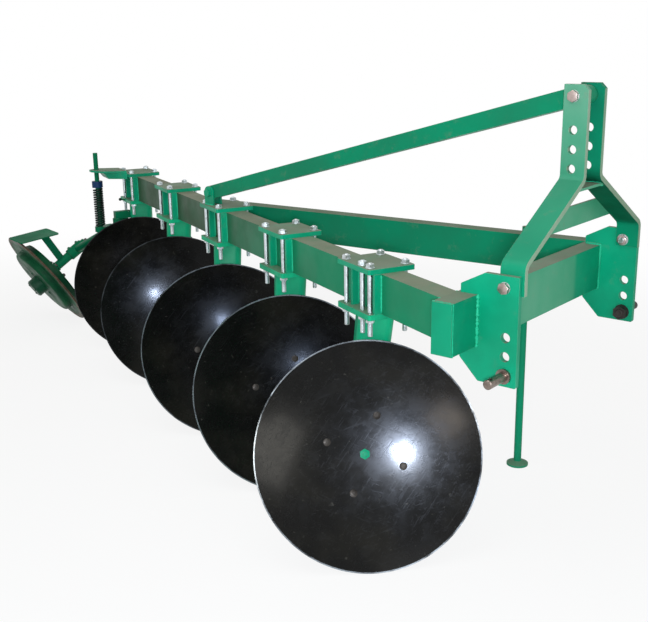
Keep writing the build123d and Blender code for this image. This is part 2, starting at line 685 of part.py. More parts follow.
# Bracket that carries the pivot: an arm from the last standard's leg, two ears and their pin.
ear_face = eye_width / 2 + fit_gap
ear_outside = ear_face + ear_thick
pivot_drop = pivot_level - frame_top
bracket_low = bracket_top - bracket_size - frame_top
bracket_frame = Plane((pivot.X, pivot.Y, frame_top), x_dir=level_run, z_dir=(0, 0, 1))
bracket_x = (pivot_offset[0] - bracket_size / 2, pivot_offset[0] + bracket_size / 2)
bracket = last_frame * block((bracket_x[0], leg_foot[1] / 2, bracket_low),
                             (bracket_x[1], pivot_offset[1] + ear_outside, bracket_low + bracket_size))
ear = Rectangle(2 * ear_radius, bracket_low - pivot_drop, align=(Align.CENTER, Align.MIN))
ear += Circle(ear_radius)
for sign in (-1, 1):
    ear_plate = extrude(Plane.XZ * ear, ear_thick)
    ear_back = sign * (ear_face + ear_thick / 2) + ear_thick / 2
    bracket += bracket_frame * Pos(0, ear_back, pivot_drop) * ear_plate
    bracket += bracket_frame * rod(pivot_head_radius, (0, sign * ear_outside, pivot_drop),
                                   (0, sign * (ear_outside + pivot_head_thick), pivot_drop))
bracket += bracket_frame * rod(pivot_radius, (0, -ear_outside, pivot_drop), (0, ear_outside, pivot_drop))
parts["wheel_bracket"] = bracket - parts[f"standard_{disc_count}"]

# Scraper: a nearly level plate over the wheel, on a flat bar from the side of the crank's bar.
blade_normal = Vector(*scraper_side).cross(Vector(*scraper_run))
blade_frame = Plane(wheel_centre + Vector(*scraper_offset), x_dir=scraper_run, z_dir=blade_normal)
blade = extrude(RectangleRounded(scraper_length, scraper_width, scraper_corner), scraper_thick / 2, both=True)
rise = (blade_frame * Pos(scraper_bar_along, 0, 0)).position - bar_end
rise = rise - wheel_axis * rise.dot(wheel_axis)
bar_frame = Plane(bar_end, x_dir=rise, z_dir=wheel_axis)
bar = bar_frame * block(
    (0, -scraper_bar_thick / 2, -scraper_bar_setback - scraper_bar_width),
    (2 * rise.length, scraper_bar_thick / 2, -scraper_bar_setback),
)
above_blade = blade_frame * block((-cut_reach, -cut_reach, 0), (cut_reach, cut_reach, cut_reach))
parts["wheel_scraper"] = blade_frame * blade + (bar - above_blade) - crank

# Move the plough so that its origin is the middle of its footprint, on the ground.
bounds = Compound([solid for part in parts.values() for solid in part.solids()]).bounding_box()
shift = Pos(-bounds.center().X, -bounds.center().Y, -bounds.min.Z)

os.makedirs("parts", exist_ok=True)
for name, part in parts.items():
    solids = part.solids()
    shape = solids[0] if len(solids) == 1 else Compound(solids)
    export_step(shift * shape, f"parts/{name}.step")
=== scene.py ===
"""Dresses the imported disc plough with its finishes, welds and fasteners, and sets floor, light and camera."""

import json
import logging
import math
from dataclasses import dataclass
from enum import Enum
from typing import Any, Optional, Sequence

import bmesh
import bpy
from mathutils import Matrix, Vector

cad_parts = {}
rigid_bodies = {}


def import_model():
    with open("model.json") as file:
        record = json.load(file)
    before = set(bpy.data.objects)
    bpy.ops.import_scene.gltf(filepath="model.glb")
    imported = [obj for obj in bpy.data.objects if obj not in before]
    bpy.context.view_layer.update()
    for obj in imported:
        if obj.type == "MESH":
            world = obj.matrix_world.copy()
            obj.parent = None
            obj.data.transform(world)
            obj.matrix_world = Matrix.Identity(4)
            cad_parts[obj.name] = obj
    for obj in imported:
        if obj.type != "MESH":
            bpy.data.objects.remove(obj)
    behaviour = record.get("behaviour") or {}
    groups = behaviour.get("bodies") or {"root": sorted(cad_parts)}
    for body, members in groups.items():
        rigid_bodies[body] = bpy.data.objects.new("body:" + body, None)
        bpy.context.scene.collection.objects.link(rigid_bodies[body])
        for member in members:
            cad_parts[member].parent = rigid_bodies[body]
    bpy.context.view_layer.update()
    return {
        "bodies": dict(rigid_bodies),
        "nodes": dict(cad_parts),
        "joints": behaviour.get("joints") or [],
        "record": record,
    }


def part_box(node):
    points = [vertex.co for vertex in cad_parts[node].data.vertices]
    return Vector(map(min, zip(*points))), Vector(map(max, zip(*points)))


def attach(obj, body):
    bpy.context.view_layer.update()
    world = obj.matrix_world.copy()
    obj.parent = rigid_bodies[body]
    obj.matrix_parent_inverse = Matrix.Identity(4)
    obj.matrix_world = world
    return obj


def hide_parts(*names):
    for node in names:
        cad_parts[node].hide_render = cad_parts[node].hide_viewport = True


Material = bpy.types.Material
Point = Sequence[float]
Outline = Sequence[tuple[float, float]]

MM = 0.001
WHITE = (1, 1, 1, 1)

log = logging.getLogger("plough")


# Small tools


def linear(colour: str) -> tuple[float, float, float, float]:
    """Turn an sRGB hex colour into linear light.

    Args:
        colour: A hash and six hex digits.

    Returns:
        Red, green, blue and full opacity.
    """
    values = [int(colour[i:i + 2], 16) / 255 for i in (1, 3, 5)]
    light = [v / 12.92 if v <= 0.04045 else ((v + 0.055) / 1.055) ** 2.4 for v in values]
    return (light[0], light[1], light[2], 1.0)


def add_node(tree: bpy.types.NodeTree, kind: str, *values: Any, output: str = "", **settings: Any) -> Any:
    """Add a node with its settings and links.

    Args:
        tree: Node tree that gets it.
        kind: Blender's type name without the word ShaderNode.
        values: A socket, a hex colour or a plain value for each input in use, in order.
        output: Name of the output that is wanted; the first one in use without it.
        settings: Attributes of the node, or inputs by name with underscores for spaces.

    Returns:
        The output socket, if the node has one.
    """
    node = tree.nodes.new("ShaderNode" + kind)
    named = []
    for name, value in settings.items():
        if hasattr(node, name):
            setattr(node, name, value)
        else:
            named.append((node.inputs[name.replace("_", " ")], value))
    in_use = [socket for socket in node.inputs if socket.enabled]
    for socket, value in [*zip(in_use, values), *named]:
        if isinstance(value, bpy.types.NodeSocket):
            tree.links.new(value, socket)
        else:
            socket.default_value = linear(value) if isinstance(value, str) else value
    return node.outputs[output] if output else next((s for s in node.outputs if s.enabled), None)


def put(name: str, data: Any, place: Optional[Matrix] = None) -> bpy.types.Object:
    """Link a new object into the scene.

    Args:
        name: Name of the object.
        data: Its mesh, lamp or camera.
        place: Its matrix, if it isn't at the origin.

    Returns:
        The object.
    """
    thing = bpy.data.objects.new(name, data)
    bpy.context.scene.collection.objects.link(thing)
    if place is not None:
        thing.matrix_world = place
    return thing


def circle(count: int, start: float = 0.0) -> list[tuple[float, float]]:
    """Cosine and sine of even steps once round, from an angle in radians."""
    angles = [2 * math.pi * i / count + start for i in range(count)]
    return [(math.cos(a), math.sin(a)) for a in angles]


def shifted(frame: Matrix, x: float = 0, y: float = 0, z: float = 0) -> Matrix:
    """Frame moved along its own axes by millimetres."""
    return frame @ Matrix.Translation(Vector((x, y, z)) * MM)


def aimed(frame: Matrix, place: Point, z_dir: Point, x_dir: Optional[Point] = None) -> Matrix:
    """Frame at a place in another, with its Z axis along a direction.

    Args:
        frame: The frame that place and directions are in.
        place: Origin in millimetres.
        z_dir: Direction of Z.
        x_dir: Rough direction of X, if it matters.

    Returns:
        The new frame.
    """
    z = Vector(z_dir).normalized()
    x = Vector(x_dir) if x_dir is not None else z.orthogonal()
    x = (x - z * x.dot(z)).normalized()
    turn = Matrix((x, z.cross(x), z)).transposed().to_4x4()
    return frame @ Matrix.Translation(Vector(place) * MM) @ turn


def direction(azimuth: float, elevation: float) -> Vector:
    """Unit vector at an azimuth from straight ahead and an elevation above level, in degrees."""
    a, e = math.radians(azimuth), math.radians(elevation)
    return Vector((math.cos(e) * math.cos(a), math.cos(e) * math.sin(a), math.sin(e)))


class Body(Enum):
    """CAD bodies that pieces ride on, apart from the five discs."""

    FRAME = "frame"
    WHEEL = "furrow_wheel"


class Slot(Enum):
    """Material slots of the record, which each piece is passed with."""

    GREEN = "green_paint"
    DISC = "disc_black"
    STEEL = "bare_steel"
    WHEEL = "wheel_paint"
    SPRING = "spring_dark"


# Layout


@dataclass(frozen=True)
class Layout:
    """Places that the pieces share, in millimetres from the middle of the hitch plates' front edge."""

    hitch: Matrix
    frame_top: float = 875
    cross_front: float = -128
    cross_rear: float = -193
    cross_height: float = 150
    plate_outer: float = 412.5
    plate_inner: float = 396.5
    link_x: float = -37
    clamp_start: tuple[float, float] = (-561.7, -294.5)
    clamp_pitch: float = 627.4
    beam_angle: float = 23.64
    beam_height: float = 125
    beam_half: float = 40
    flange_thick: float = 18
    clamp_thick: float = 16
    disc_radius: float = 355
    dish_radius: float = 700
    disc_angle: float = -44
    disc_tilt: float = 21.7
    dish_seat: float = 103.3
    disc_places: Outline = ((112, -185), (133, -163), (164, -189), (124, -159), (155, -152))
    edge_land: float = 1.5
    brace_angle: float = 4.27
    brace_front: float = 458.5
    brace_half: float = 32.5
    wheel_radius: float = 305
    wheel_heading: float = 254.04
    wheel_lean: float = 33.54
    wheel_place: tuple[float, float] = (-3475, 498)
    rim_thick: float = 10
    rod_offset: tuple[float, float] = (80, 207)
    mast_foot: tuple[float, float] = (388.5, 966)
    mast_head: tuple[float, float] = (55, 1157)
    stay_base: tuple[float, float] = (34, 43)
    stand_back: float = 207.6
    stand_out: float = 26
    stand_drop: float = 10
    crank_rise: float = 17
    crank_back: float = 77

    @classmethod
    def from_frame(cls) -> "Layout":
        """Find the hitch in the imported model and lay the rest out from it.

        Returns:
            The layout.
        """
        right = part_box("hitch_plate_right")
        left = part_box("hitch_plate_left")
        origin = Vector((right[1].x, (right[0].y + left[1].y) / 2, 0))
        return cls(hitch=Matrix.Translation(origin))

    @property
    def disc_count(self) -> int:
        """Number of discs, and of clamps."""
        return len(self.disc_places)

    @property
    def beam_back(self) -> Vector:
        """Direction of the beam towards its tail."""
        return direction(180 - self.beam_angle, 0)

    @property
    def disc_axis(self) -> Vector:
        """Axis of every disc, pointing out of its hollow side."""
        return direction(self.disc_angle, self.disc_tilt)

    @property
    def dish_depth(self) -> float:
        """Depth of a blade's hollow at its middle."""
        return self.dish_radius - math.sqrt(self.dish_radius**2 - self.disc_radius**2)

    def clamp(self, index: int) -> Matrix:
        """Frame of a clamp: X back along the beam, Y to its right, Z up from the beam's top."""
        place = Vector((*self.clamp_start, self.frame_top)) + self.beam_back * (self.clamp_pitch * index)
        return aimed(self.hitch, place, (0, 0, 1), self.beam_back)

    def hub(self, index: int) -> Matrix:
        """Frame at the heart of a disc's bearing housing, with Z along the disc's axis.

        Args:
            index: Number of the disc, from 0.

        Returns:
            The frame.
        """
        tilt = math.radians(self.disc_tilt)
        level = self.disc_radius * math.cos(tilt) + self.edge_land * math.sin(tilt)
        back = self.beam_back * (self.clamp_pitch * index)
        (start_x, start_y), (x, y) = self.clamp_start, self.disc_places[index]
        rim = Vector((start_x + back.x + x, start_y + back.y + y, level))
        middle = rim - self.disc_axis * (self.dish_seat + self.dish_depth)
        return aimed(self.hitch, middle, self.disc_axis, Vector((0, 0, 1)).cross(self.disc_axis))

    def dish(self, index: int) -> Matrix:
        """Frame at the bottom of a blade's hollow."""
        return shifted(self.hub(index), z=self.dish_seat)

    @property
    def brace(self) -> Matrix:
        """Frame at the brace's front end, with X back along it and z = 0 on its top."""
        back = direction(180 + self.brace_angle, 0)
        return aimed(self.hitch, (self.cross_rear, self.brace_front, self.frame_top), (0, 0, 1), back)

    @property
    def wheel_axis(self) -> Vector:
        """Axis of the furrow wheel, pointing out of its cap."""
        return direction(self.wheel_heading, -self.wheel_lean)

    @property
    def wheel_middle(self) -> Vector:
        """Centre of the furrow wheel."""
        lean = math.radians(self.wheel_lean)
        level = self.wheel_radius * math.cos(lean) + self.rim_thick / 2 * math.sin(lean)
        return Vector((*self.wheel_place, level))

    @property
    def wheel(self) -> Matrix:
        """Frame of the furrow wheel, with Z out of its cap."""
        return aimed(self.hitch, self.wheel_middle, self.wheel_axis)

    @property
    def rod(self) -> Matrix:
        """Frame of the sprung rod, on the ground below it."""
        return shifted(self.clamp(self.disc_count - 1), *self.rod_offset, -self.frame_top)

    @property
    def crank(self) -> Matrix:
        """Frame where the crank's bar leaves its end plate, with Z along the bar and X upward."""
        start = self.wheel_middle - self.wheel_axis * self.crank_back + Vector((0, 0, self.crank_rise))
        return aimed(self.hitch, start, -self.wheel_axis, (0, 0, 1))

    @property
    def stand(self) -> Matrix:
        """Frame at the top of the stand's sleeve, with Y away from the brace."""
        return shifted(self.brace, self.stand_back, self.brace_half + self.stand_out, -self.stand_drop)

    def mast_y(self, level: float) -> float:
        """Distance from the middle of the hitch to a mast bar's middle at a level on its slope."""
        (foot_y, low), (head_y, high) = self.mast_foot, self.mast_head
        return foot_y + (head_y - foot_y) * (level - low) / (high - low)


# Mesh work


@dataclass(frozen=True)
class NutSize:
    """A nut, its washer and how far up the nut starts, in millimetres."""

    across: float
    height: float
    bore: float
    washer: float
    thick: float
    lift: float


class Draft:
    """A mesh under way, given in millimetres in any number of local frames.

    Args:
        name: Name of the piece.
    """

    SHARP = math.radians(33)
    SMALLEST = 0.05
    NUT_STEPS = 24
    NUT_CHAMFER = math.tan(math.radians(30))
    PITCH = 4.0
    RIPPLE = 0.14
    RIPPLE_LENGTH = 5

    def __init__(self, name: str) -> None:
        """Start an empty mesh."""
        self.name = name
        self.mesh = bmesh.new()
        self.materials: list[Material] = []

    def skin(self, frame: Matrix, rings: Sequence[Sequence[Point]], finish: Material,
             around: bool = False) -> None:
        """Skin a row of rings that have as many points each.

        Args:
            frame: Local frame of the points.
            rings: Closed rings of points.
            finish: Material of the faces.
            around: Join the last ring to the first, where both are closed otherwise.
        """
        if finish not in self.materials:
            self.materials.append(finish)
        move = frame @ Matrix.Scale(MM, 4)
        rows = [[self.mesh.verts.new(move @ Vector(p)) for p in ring] for ring in rings]
        faces: list[Any] = []
        for low, high in zip(rows, rows[1:] + rows[:1] if around else rows[1:]):
            faces += zip(low, low[1:] + low[:1], high[1:] + high[:1], high)
        if not around:
            faces += [rows[0][::-1], rows[-1]]
        for corners in faces:
            face = self.mesh.faces.new(corners)
            face.material_index = self.materials.index(finish)
            face.smooth = True

    def lathe(self, frame: Matrix, outline: Outline, finish: Material, sides: int,
              around: bool = False) -> None:
        """Turn an outline of (radius, height) points about the frame's Z axis.

        Args:
            frame: Local frame.
            outline: Points from one end to the other, or a closed loop off the axis with around.
            finish: Material of the faces.
            sides: Number of facets round the axis.
            around: Close the loop, as for a washer.
        """
        rings = []
        for radius, z in outline:
            r = max(radius, self.SMALLEST)
            rings.append([(r * c, r * s, z) for c, s in circle(sides)])
        self.skin(frame, rings, finish, around)

    def nut(self, frame: Matrix, across: float, height: float, finish: Material) -> None:
        """Hexagonal nut or bolt head on z = 0, with the chamfered corners of a real one.

        Args:
            frame: Local frame.
            across: Width across the flats.
            height: Height.
            finish: Material of the faces.
        """
        inner = across / 2 * 0.97
        side = math.pi / 3
        rings: list[list[Point]] = [[], [], [], []]
        for i, (c, s) in enumerate(circle(self.NUT_STEPS)):
            off = (2 * math.pi * i / self.NUT_STEPS + side / 2) % side - side / 2
            reach = across / 2 / math.cos(off)
            rise = (reach - inner) * self.NUT_CHAMFER
            for ring, r, z in zip(rings, (inner, reach, reach, inner), (0, rise, height - rise, height)):
                ring.append((r * c, r * s, z))
        self.skin(frame, rings, finish)

    def washer(self, frame: Matrix, radius: float, bore: float, thick: float, finish: Material) -> None:
        """Flat washer on z = 0 with eased edges.

        Args:
            frame: Local frame.
            radius: Outer radius.
            bore: Radius of the hole.
            thick: Thickness.
            finish: Material of the faces.
        """
        ease = thick * 0.2
        loop = [(bore, 0), (radius - ease, 0), (radius, ease), (radius, thick - ease), (radius - ease, thick),
                (bore, thick)]
        self.lathe(frame, loop, finish, 24, around=True)

    def nut_on_washer(self, frame: Matrix, size: NutSize, washer: Material, nut: Material) -> None:
        """Nut and washer of a size on z = 0, each in its finish."""
        self.washer(frame, size.washer, size.bore, size.thick, washer)
        self.nut(shifted(frame, z=size.lift), size.across, size.height, nut)

    def screw(self, frame: Matrix, radius: float, low: float, high: float, finish: Material,
              threads: Outline) -> None:
        """Stud or bolt shank along Z with eased ends and threaded lengths.

        The pitch is drawn at 4 mm, about twice the real one, so that it shows in the render.

        Args:
            frame: Local frame.
            radius: Outer radius of the thread.
            low: Lower end.
            high: Upper end.
            finish: Material of the faces.
            threads: Start and end of each threaded length, from below.
        """
        root = radius * 0.87
        ease = radius * 0.25
        profile = [(0, low), (radius - ease, low), (radius, low + ease)]
        for start, end in threads:
            turns = max(1, int((end - start) / self.PITCH))
            step = (end - start) / turns
            for i in range(turns):
                z = start + i * step
                profile += [(radius, z + step * 0.2), (root, z + step * 0.5), (radius, z + step * 0.8)]
        profile += [(radius, high - ease), (radius - ease, high), (0, high)]
        self.lathe(frame, profile, finish, 14)

    def tube(self, frame: Matrix, points: Sequence[Point], radius: float, finish: Material, sides: int = 8,
             lumps: float = 0.0, closed: bool = False) -> None:
        """Round bar or weld bead along a line.

        Args:
            frame: Local frame.
            points: Line that its middle follows.
            radius: Radius of the bar.
            finish: Material of the faces.
            sides: Facets round the bar.
            lumps: Share of the radius by which a weld's ripples stand up.
            closed: Join the last point to the first.
        """
        line = [Vector(p) for p in points]
        last = len(line) - 1
        rings = []
        side = None
        for i, point in enumerate(line):
            before = line[i - 1] if i or closed else point
            after = line[(i + 1) % len(line)] if i < last or closed else point
            along = (after - before).normalized()
            side = along.orthogonal() if side is None else side - along * side.dot(along)
            side.normalize()
            up = along.cross(side)
            swell = 1 + lumps * (math.sin(i * 2.4) + 0.6 * math.sin(i * 1.31 + 1.0))
            if lumps and not closed and i in (0, last):
                swell *= 0.6
            rings.append([point + (side * c + up * s) * (radius * swell) for c, s in circle(sides)])
        self.skin(frame, rings, finish, closed)

    def bead(self, frame: Matrix, corners: Sequence[Point], finish: Material, radius: float = 4.0,
             closed: bool = False, lumps: float = RIPPLE) -> None:
        """Weld bead with a ripple about every 5 mm along straight runs between corners.

        Args:
            frame: Local frame.
            corners: Corners of the run.
            finish: Material of the faces.
            radius: Radius of the bead.
            closed: Join the last corner to the first.
            lumps: Share of the radius by which the ripples stand up.
        """
        stops = [Vector(c) for c in corners]
        if closed:
            stops.append(stops[0])
        line: list[Vector] = []
        for a, b in zip(stops, stops[1:]):
            steps = max(2, round((b - a).length / self.RIPPLE_LENGTH))
            line += [a.lerp(b, i / steps) for i in range(steps)]
        if not closed:
            line.append(stops[-1])
        self.tube(frame, line, radius, finish, lumps=lumps, closed=closed)

    def done(self, slot: Slot, replaces: Sequence[str] = (), body: str = Body.FRAME.value) -> None:
        """Turn the draft into an object that rides on a body.

        Args:
            slot: Material slot of the record; not used.
            replaces: CAD nodes that it stands for.
            body: Name of the CAD body.
        """
        bmesh.ops.recalc_face_normals(self.mesh, faces=self.mesh.faces)
        for edge in self.mesh.edges:
            if edge.is_manifold and edge.calc_face_angle(0) > self.SHARP:
                edge.smooth = False
        data = bpy.data.meshes.new(self.name)
        self.mesh.to_mesh(data)
        self.mesh.free()
        for finish in self.materials:
            data.materials.append(finish)
        piece = put(self.name, data)
        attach(piece, body)
        if replaces:
            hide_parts(*replaces)
        log.info("%s: %d faces on %s", self.name, len(data.polygons), body)


# Finishes


class Surface:
    """Node tree of one material, with the patterns that several finishes share.

    Args:
        name: Name of the material.
        colour: Ground colour in hex.
        home: Frame that its patterns are laid out in; the object's own without one.
    """

    def __init__(self, name: str, colour: str, home: Optional[Matrix] = None) -> None:
        """Start the material with the coordinates that its patterns use."""
        self.material = bpy.data.materials.new(name)
        self.material.use_nodes = True
        self.material.node_tree.nodes.clear()
        self.colour: Any = colour
        self.normal = self.add("NewGeometry", output="Normal")
        self.origin = self.add("TexCoord", output="Object")
        self.facing = self.add("TexCoord", output="Normal")
        if home is not None:
            back = home.inverted()
            turn = back.to_euler()
            self.origin = self.add("Mapping", self.origin, Location=back.translation, Rotation=turn)
            self.facing = self.add("Mapping", self.facing, vector_type="VECTOR", Rotation=turn)
        spread = self.add("Math", self.add("ObjectInfo", output="Random"), 7.0, operation="MULTIPLY")
        self.spot = self.add("VectorMath", self.origin, spread, operation="ADD")

    def add(self, kind: str, *values: Any, **settings: Any) -> Any:
        """Add a node to this material."""
        return add_node(self.material.node_tree, kind, *values, **settings)

    def noise(self, size: float, detail: float = 5, rough: float = 0.55, stretch: Point = (1, 1, 1),
              turn: float = 0) -> Any:
        """Fractal noise with features of a size in millimetres.

        Args:
            size: Size of a feature.
            detail: Number of octaves.
            rough: Share that each octave keeps.
            stretch: Scale of a turned pattern along its axes.
            turn: Turn of the pattern about the object's Z in degrees.

        Returns:
            The factor socket.
        """
        spot = self.spot
        if turn:
            spot = self.add("VectorRotate", spot, rotation_type="Z_AXIS", Angle=math.radians(turn))
            spot = self.add("VectorMath", spot, stretch, operation="MULTIPLY")
        return self.add("TexNoise", spot, Scale=1 / (size * MM), Detail=detail, Roughness=rough)

    def patches(self, size: float, low: float, high: float, outside: float = 0, inside: float = 1,
                **shape: Any) -> Any:
        """Soft patches of a size in millimetres.

        Args:
            size: Size of a patch.
            low: Noise at which they start.
            high: Noise at which they are full.
            outside: Value outside the patches.
            inside: Value inside them.
            shape: What else the noise takes.

        Returns:
            The socket of the value.
        """
        noise = self.noise(size, **shape)
        return self.add("MapRange", noise, low, high, outside, inside, interpolation_type="SMOOTHSTEP")

    def across(self, vector: Any, axis: str, start: float, end: float, low: float = 0, high: float = 1) -> Any:
        """Value that goes from low to high where a place or a direction passes from start to end."""
        along = self.add("SeparateXYZ", vector, output=axis)
        return self.add("MapRange", along, start, end, low, high, interpolation_type="SMOOTHSTEP")

    def reach(self, start: float, end: float, ragged: Any = 0.0) -> Any:
        """Mask that rises between two radii about the home frame's Z axis.

        Args:
            start: Radius in millimetres where it is 0.
            end: Radius where it is 1.
            ragged: Metres by which the radius is taken larger, as a socket or a number.

        Returns:
            The mask socket.
        """
        flat = self.add("VectorMath", self.origin, (1, 1, 0), operation="MULTIPLY")
        radius = self.add("Math", self.add("VectorMath", flat, operation="LENGTH"), ragged, operation="ADD")
        return self.add("MapRange", radius, start * MM, end * MM, 0, 1, interpolation_type="SMOOTHSTEP")

    def dust(self, size: float, least: float, most: float) -> Any:
        """Mask of the dust that settles in patches on faces that lie level and look up."""
        patches = self.patches(size, 0.2, 0.6, least, most, detail=6)
        return self.add("Math", self.across(self.normal, "Z", 0.9, 0.985), patches, operation="MULTIPLY")

    def edges(self, reach: float) -> tuple[Any, Any]:
        """Rounded edges of a plate or a section.

        Args:
            reach: Radius of the rounding in millimetres.

        Returns:
            The wear mask, 1 at the edges, and the rounded normal.
        """
        soft = self.add("Bevel", samples=4, Radius=reach * MM)
        turn = self.add("VectorMath", soft, self.normal, operation="DOT_PRODUCT")
        return self.add("MapRange", turn, 0.995, 0.93, 0, 1, interpolation_type="SMOOTHSTEP"), soft

    def grain(self, size: float, depth: float, detail: float, **under: Any) -> Any:
        """Normal with a grain that stands up by a depth in millimetres, over another where one is given."""
        return self.add("Bump", Height=self.noise(size, detail), Distance=depth * MM, **under)

    def lay(self, mask: Any, over: Any) -> None:
        """Lay a colour, in hex or as a socket, over what is there, as far as the mask lets it."""
        self.colour = self.add("Mix", mask, self.colour, over, data_type="RGBA")

    def enamel(self, roughness: float, dust: Any, rounded: Any, shine: float) -> Material:
        """Close a sprayed enamel: faint orange peel, and a gloss in broad patches that dust dulls.

        Args:
            roughness: Middle roughness of the coat.
            dust: Mask of the dust.
            rounded: Normal with rounded edges.
            shine: Specular level.

        Returns:
            The finished material.
        """
        gloss = self.patches(120, 0.3, 0.7, roughness * 0.85, roughness * 1.3, detail=4)
        dull = self.add("Math", dust, 0.3, gloss, operation="MULTIPLY_ADD")
        return self.close(dull, self.grain(5, 0.05, 2, Normal=rounded), Specular_IOR_Level=shine)

    def close(self, roughness: Any, normal: Any, **settings: Any) -> Material:
        """Add the shader and the output.

        Args:
            roughness: Socket of the roughness.
            normal: Socket of the normal.
            settings: The shader's other inputs.

        Returns:
            The finished material.
        """
        shader = self.add("BsdfPrincipled", self.colour, Roughness=roughness, Normal=normal, **settings)
        self.add("OutputMaterial", shader)
        return self.material


@dataclass(frozen=True)
class SprayedEnamel:
    """Gloss enamel sprayed on rolled steel: deep colour, faint orange peel, dust on top, worn edges.

    A film, if there is one, thickens over each span of metres on its axis: a film of dust on most parts,
    and painted shade on the far mast bar's slope. A front colour, a painted highlight, pales the faces that
    look ahead; on the mast the pale edges are partly a painted highlight too.
    """

    name: str
    colour: str
    shade: str
    dust: str = "#7e8270"
    edge: str = "#86a88e"
    dust_level: float = 0.88
    streak_level: float = 0.14
    wear_level: float = 0.45
    roughness: float = 0.4
    shine: float = 0.2
    dust_film_and_shade: str = ""
    dust_film_and_shade_axis: str = "Z"
    dust_film_and_shade_spans: Outline = ()
    front: str = ""
    cloud: float = 260
    dust_film_and_shade_patch: float = 90
    streak: float = 45
    chip: float = 14
    dust_patch: float = 70
    edge_radius: float = 1.6

    def make(self) -> Material:
        """Build the material.

        Returns:
            The material.
        """
        s = Surface(self.name, self.colour)
        s.lay(s.patches(self.cloud, 0.35, 0.72), self.shade)
        # The film is dust on most parts; on the far mast bar it is painted shade on the slope.
        if self.dust_film_and_shade:
            dust_film_and_shade_mask = s.patches(self.dust_film_and_shade_patch, 0.25, 0.75, 0.7, 1)
            for span in self.dust_film_and_shade_spans:
                dust_film_and_shade_mask = s.add("Math", dust_film_and_shade_mask, s.across(s.origin, self.dust_film_and_shade_axis, *span), operation="MULTIPLY")
            s.lay(dust_film_and_shade_mask, self.dust_film_and_shade)
        # Painted highlight: the front colour pales the faces that look ahead.
        if self.front:
            s.lay(s.across(s.facing, "X", 0.85, 0.97, 0, 0.85), self.front)
        streaks = s.patches(self.streak, 0.56, 0.74, 0, self.streak_level, detail=6, rough=0.7)
        s.lay(streaks, self.dust)
        wear, rounded = s.edges(self.edge_radius)
        chips = s.patches(self.chip, 0.3, 0.6, 0.15, self.wear_level)
        s.lay(s.add("Math", wear, chips, operation="MULTIPLY"), self.edge)
        settled = s.dust(self.dust_patch, self.dust_level * 0.72, self.dust_level)
        s.lay(settled, self.dust)
        dusty = s.add("Math", settled, streaks, operation="MAXIMUM")
        return s.enamel(self.roughness, dusty, rounded, self.shine)


@dataclass(frozen=True)
class BeamEnamel:
    """The same enamel on the long beam, darker and browner towards its tail: painted shade for the light that
    falls off along it.
    """

    name: str
    colour: str
    # Colour at the tail: painted shade, for the light that falls off towards it.
    tail: str
    front: float
    back: float
    dust: str = "#868a76"
    roughness: float = 0.42
    shine: float = 0.18
    patch: float = 180
    dust_patch: float = 70
    edge_radius: float = 1.8

    def make(self) -> Material:
        """Build the material.

        Returns:
            The material.
        """
        s = Surface(self.name, self.colour)
        # Painted shade: the colour goes over to the tail colour along the beam.
        ragged = s.patches(self.patch, 0.25, 0.75, -0.18, 0.18)
        along = s.across(s.origin, "X", self.front, self.back)
        s.lay(s.add("Math", along, ragged, operation="ADD", use_clamp=True), self.tail)
        wear, rounded = s.edges(self.edge_radius)
        s.lay(s.add("Math", wear, 0.4, operation="MULTIPLY"), self.dust)
        settled = s.dust(self.dust_patch, 0.6, 0.9)
        s.lay(settled, self.dust)
        return s.enamel(self.roughness, settled, rounded, self.shine)


@dataclass(frozen=True)
class LacqueredDisc:
    """Black lacquer on pressed spring steel: a deep shine with fine scratches and a ground edge.

    The radii at which the ground edge and the bevel behind it start are in millimetres. A pattern of
    scratches has a width, a stretch, a turn, the noise where it starts and is full, and a depth.
    """

    name: str
    home: Matrix
    wear: float
    colour: str = "#0a0a09"
    bloom: str = "#181713"
    speck: str = "#4c4b45"
    ground: str = "#a3abb2"
    edge_start: float = 350
    edge_full: float = 352.5
    bevel_start: float = 340
    bevel_full: float = 341
    scratches: Sequence[Point] = (
        (5, 0.03, 38, 0.58, 0.7, 0.14), (6, 0.05, -63, 0.6, 0.72, 0.12), (7, 0.04, 74, 0.61, 0.72, 0.12),
    )

    def make(self) -> Material:
        """Build the material.

        Returns:
            The material.
        """
        s = Surface(self.name, self.colour, self.home)
        s.lay(s.patches(190, 0.42, 0.72, detail=6, rough=0.6), self.bloom)
        s.lay(s.patches(16, 0.66, 0.76, 0, 0.4, detail=3), self.speck)
        behind = s.across(s.facing, "Z", 0, -0.2)
        bevel = s.add("Math", behind, s.reach(self.bevel_start, self.bevel_full), operation="MULTIPLY")
        ground = s.add("Math", s.reach(self.edge_start, self.edge_full), bevel, operation="MAXIMUM")
        ragged = s.patches(60, 0.3, 0.6, 0.15 * self.wear, self.wear)
        bare = s.add("Math", ground, ragged, operation="MULTIPLY")
        s.lay(bare, self.ground)
        marks: Any = 0.0
        for width, thin, turn, low, high, depth in self.scratches:
            scratch = s.patches(width, low, high, 0, depth, detail=3, stretch=(1, thin, 1), turn=turn)
            marks = s.add("Math", marks, scratch, operation="MAXIMUM")
        gloss = s.patches(60, 0.3, 0.72, 0.2, 0.31, detail=7, rough=0.65)
        dull = s.add("Math", gloss, marks, operation="ADD")
        normal = s.add("Bump", Height=marks, Distance=0.2 * MM, Normal=s.grain(35, 0.14, 5))
        return s.close(dull, normal, Metallic=bare, Specular_IOR_Level=0.1, Coat_Weight=0.06,
                       Coat_Roughness=0.13)


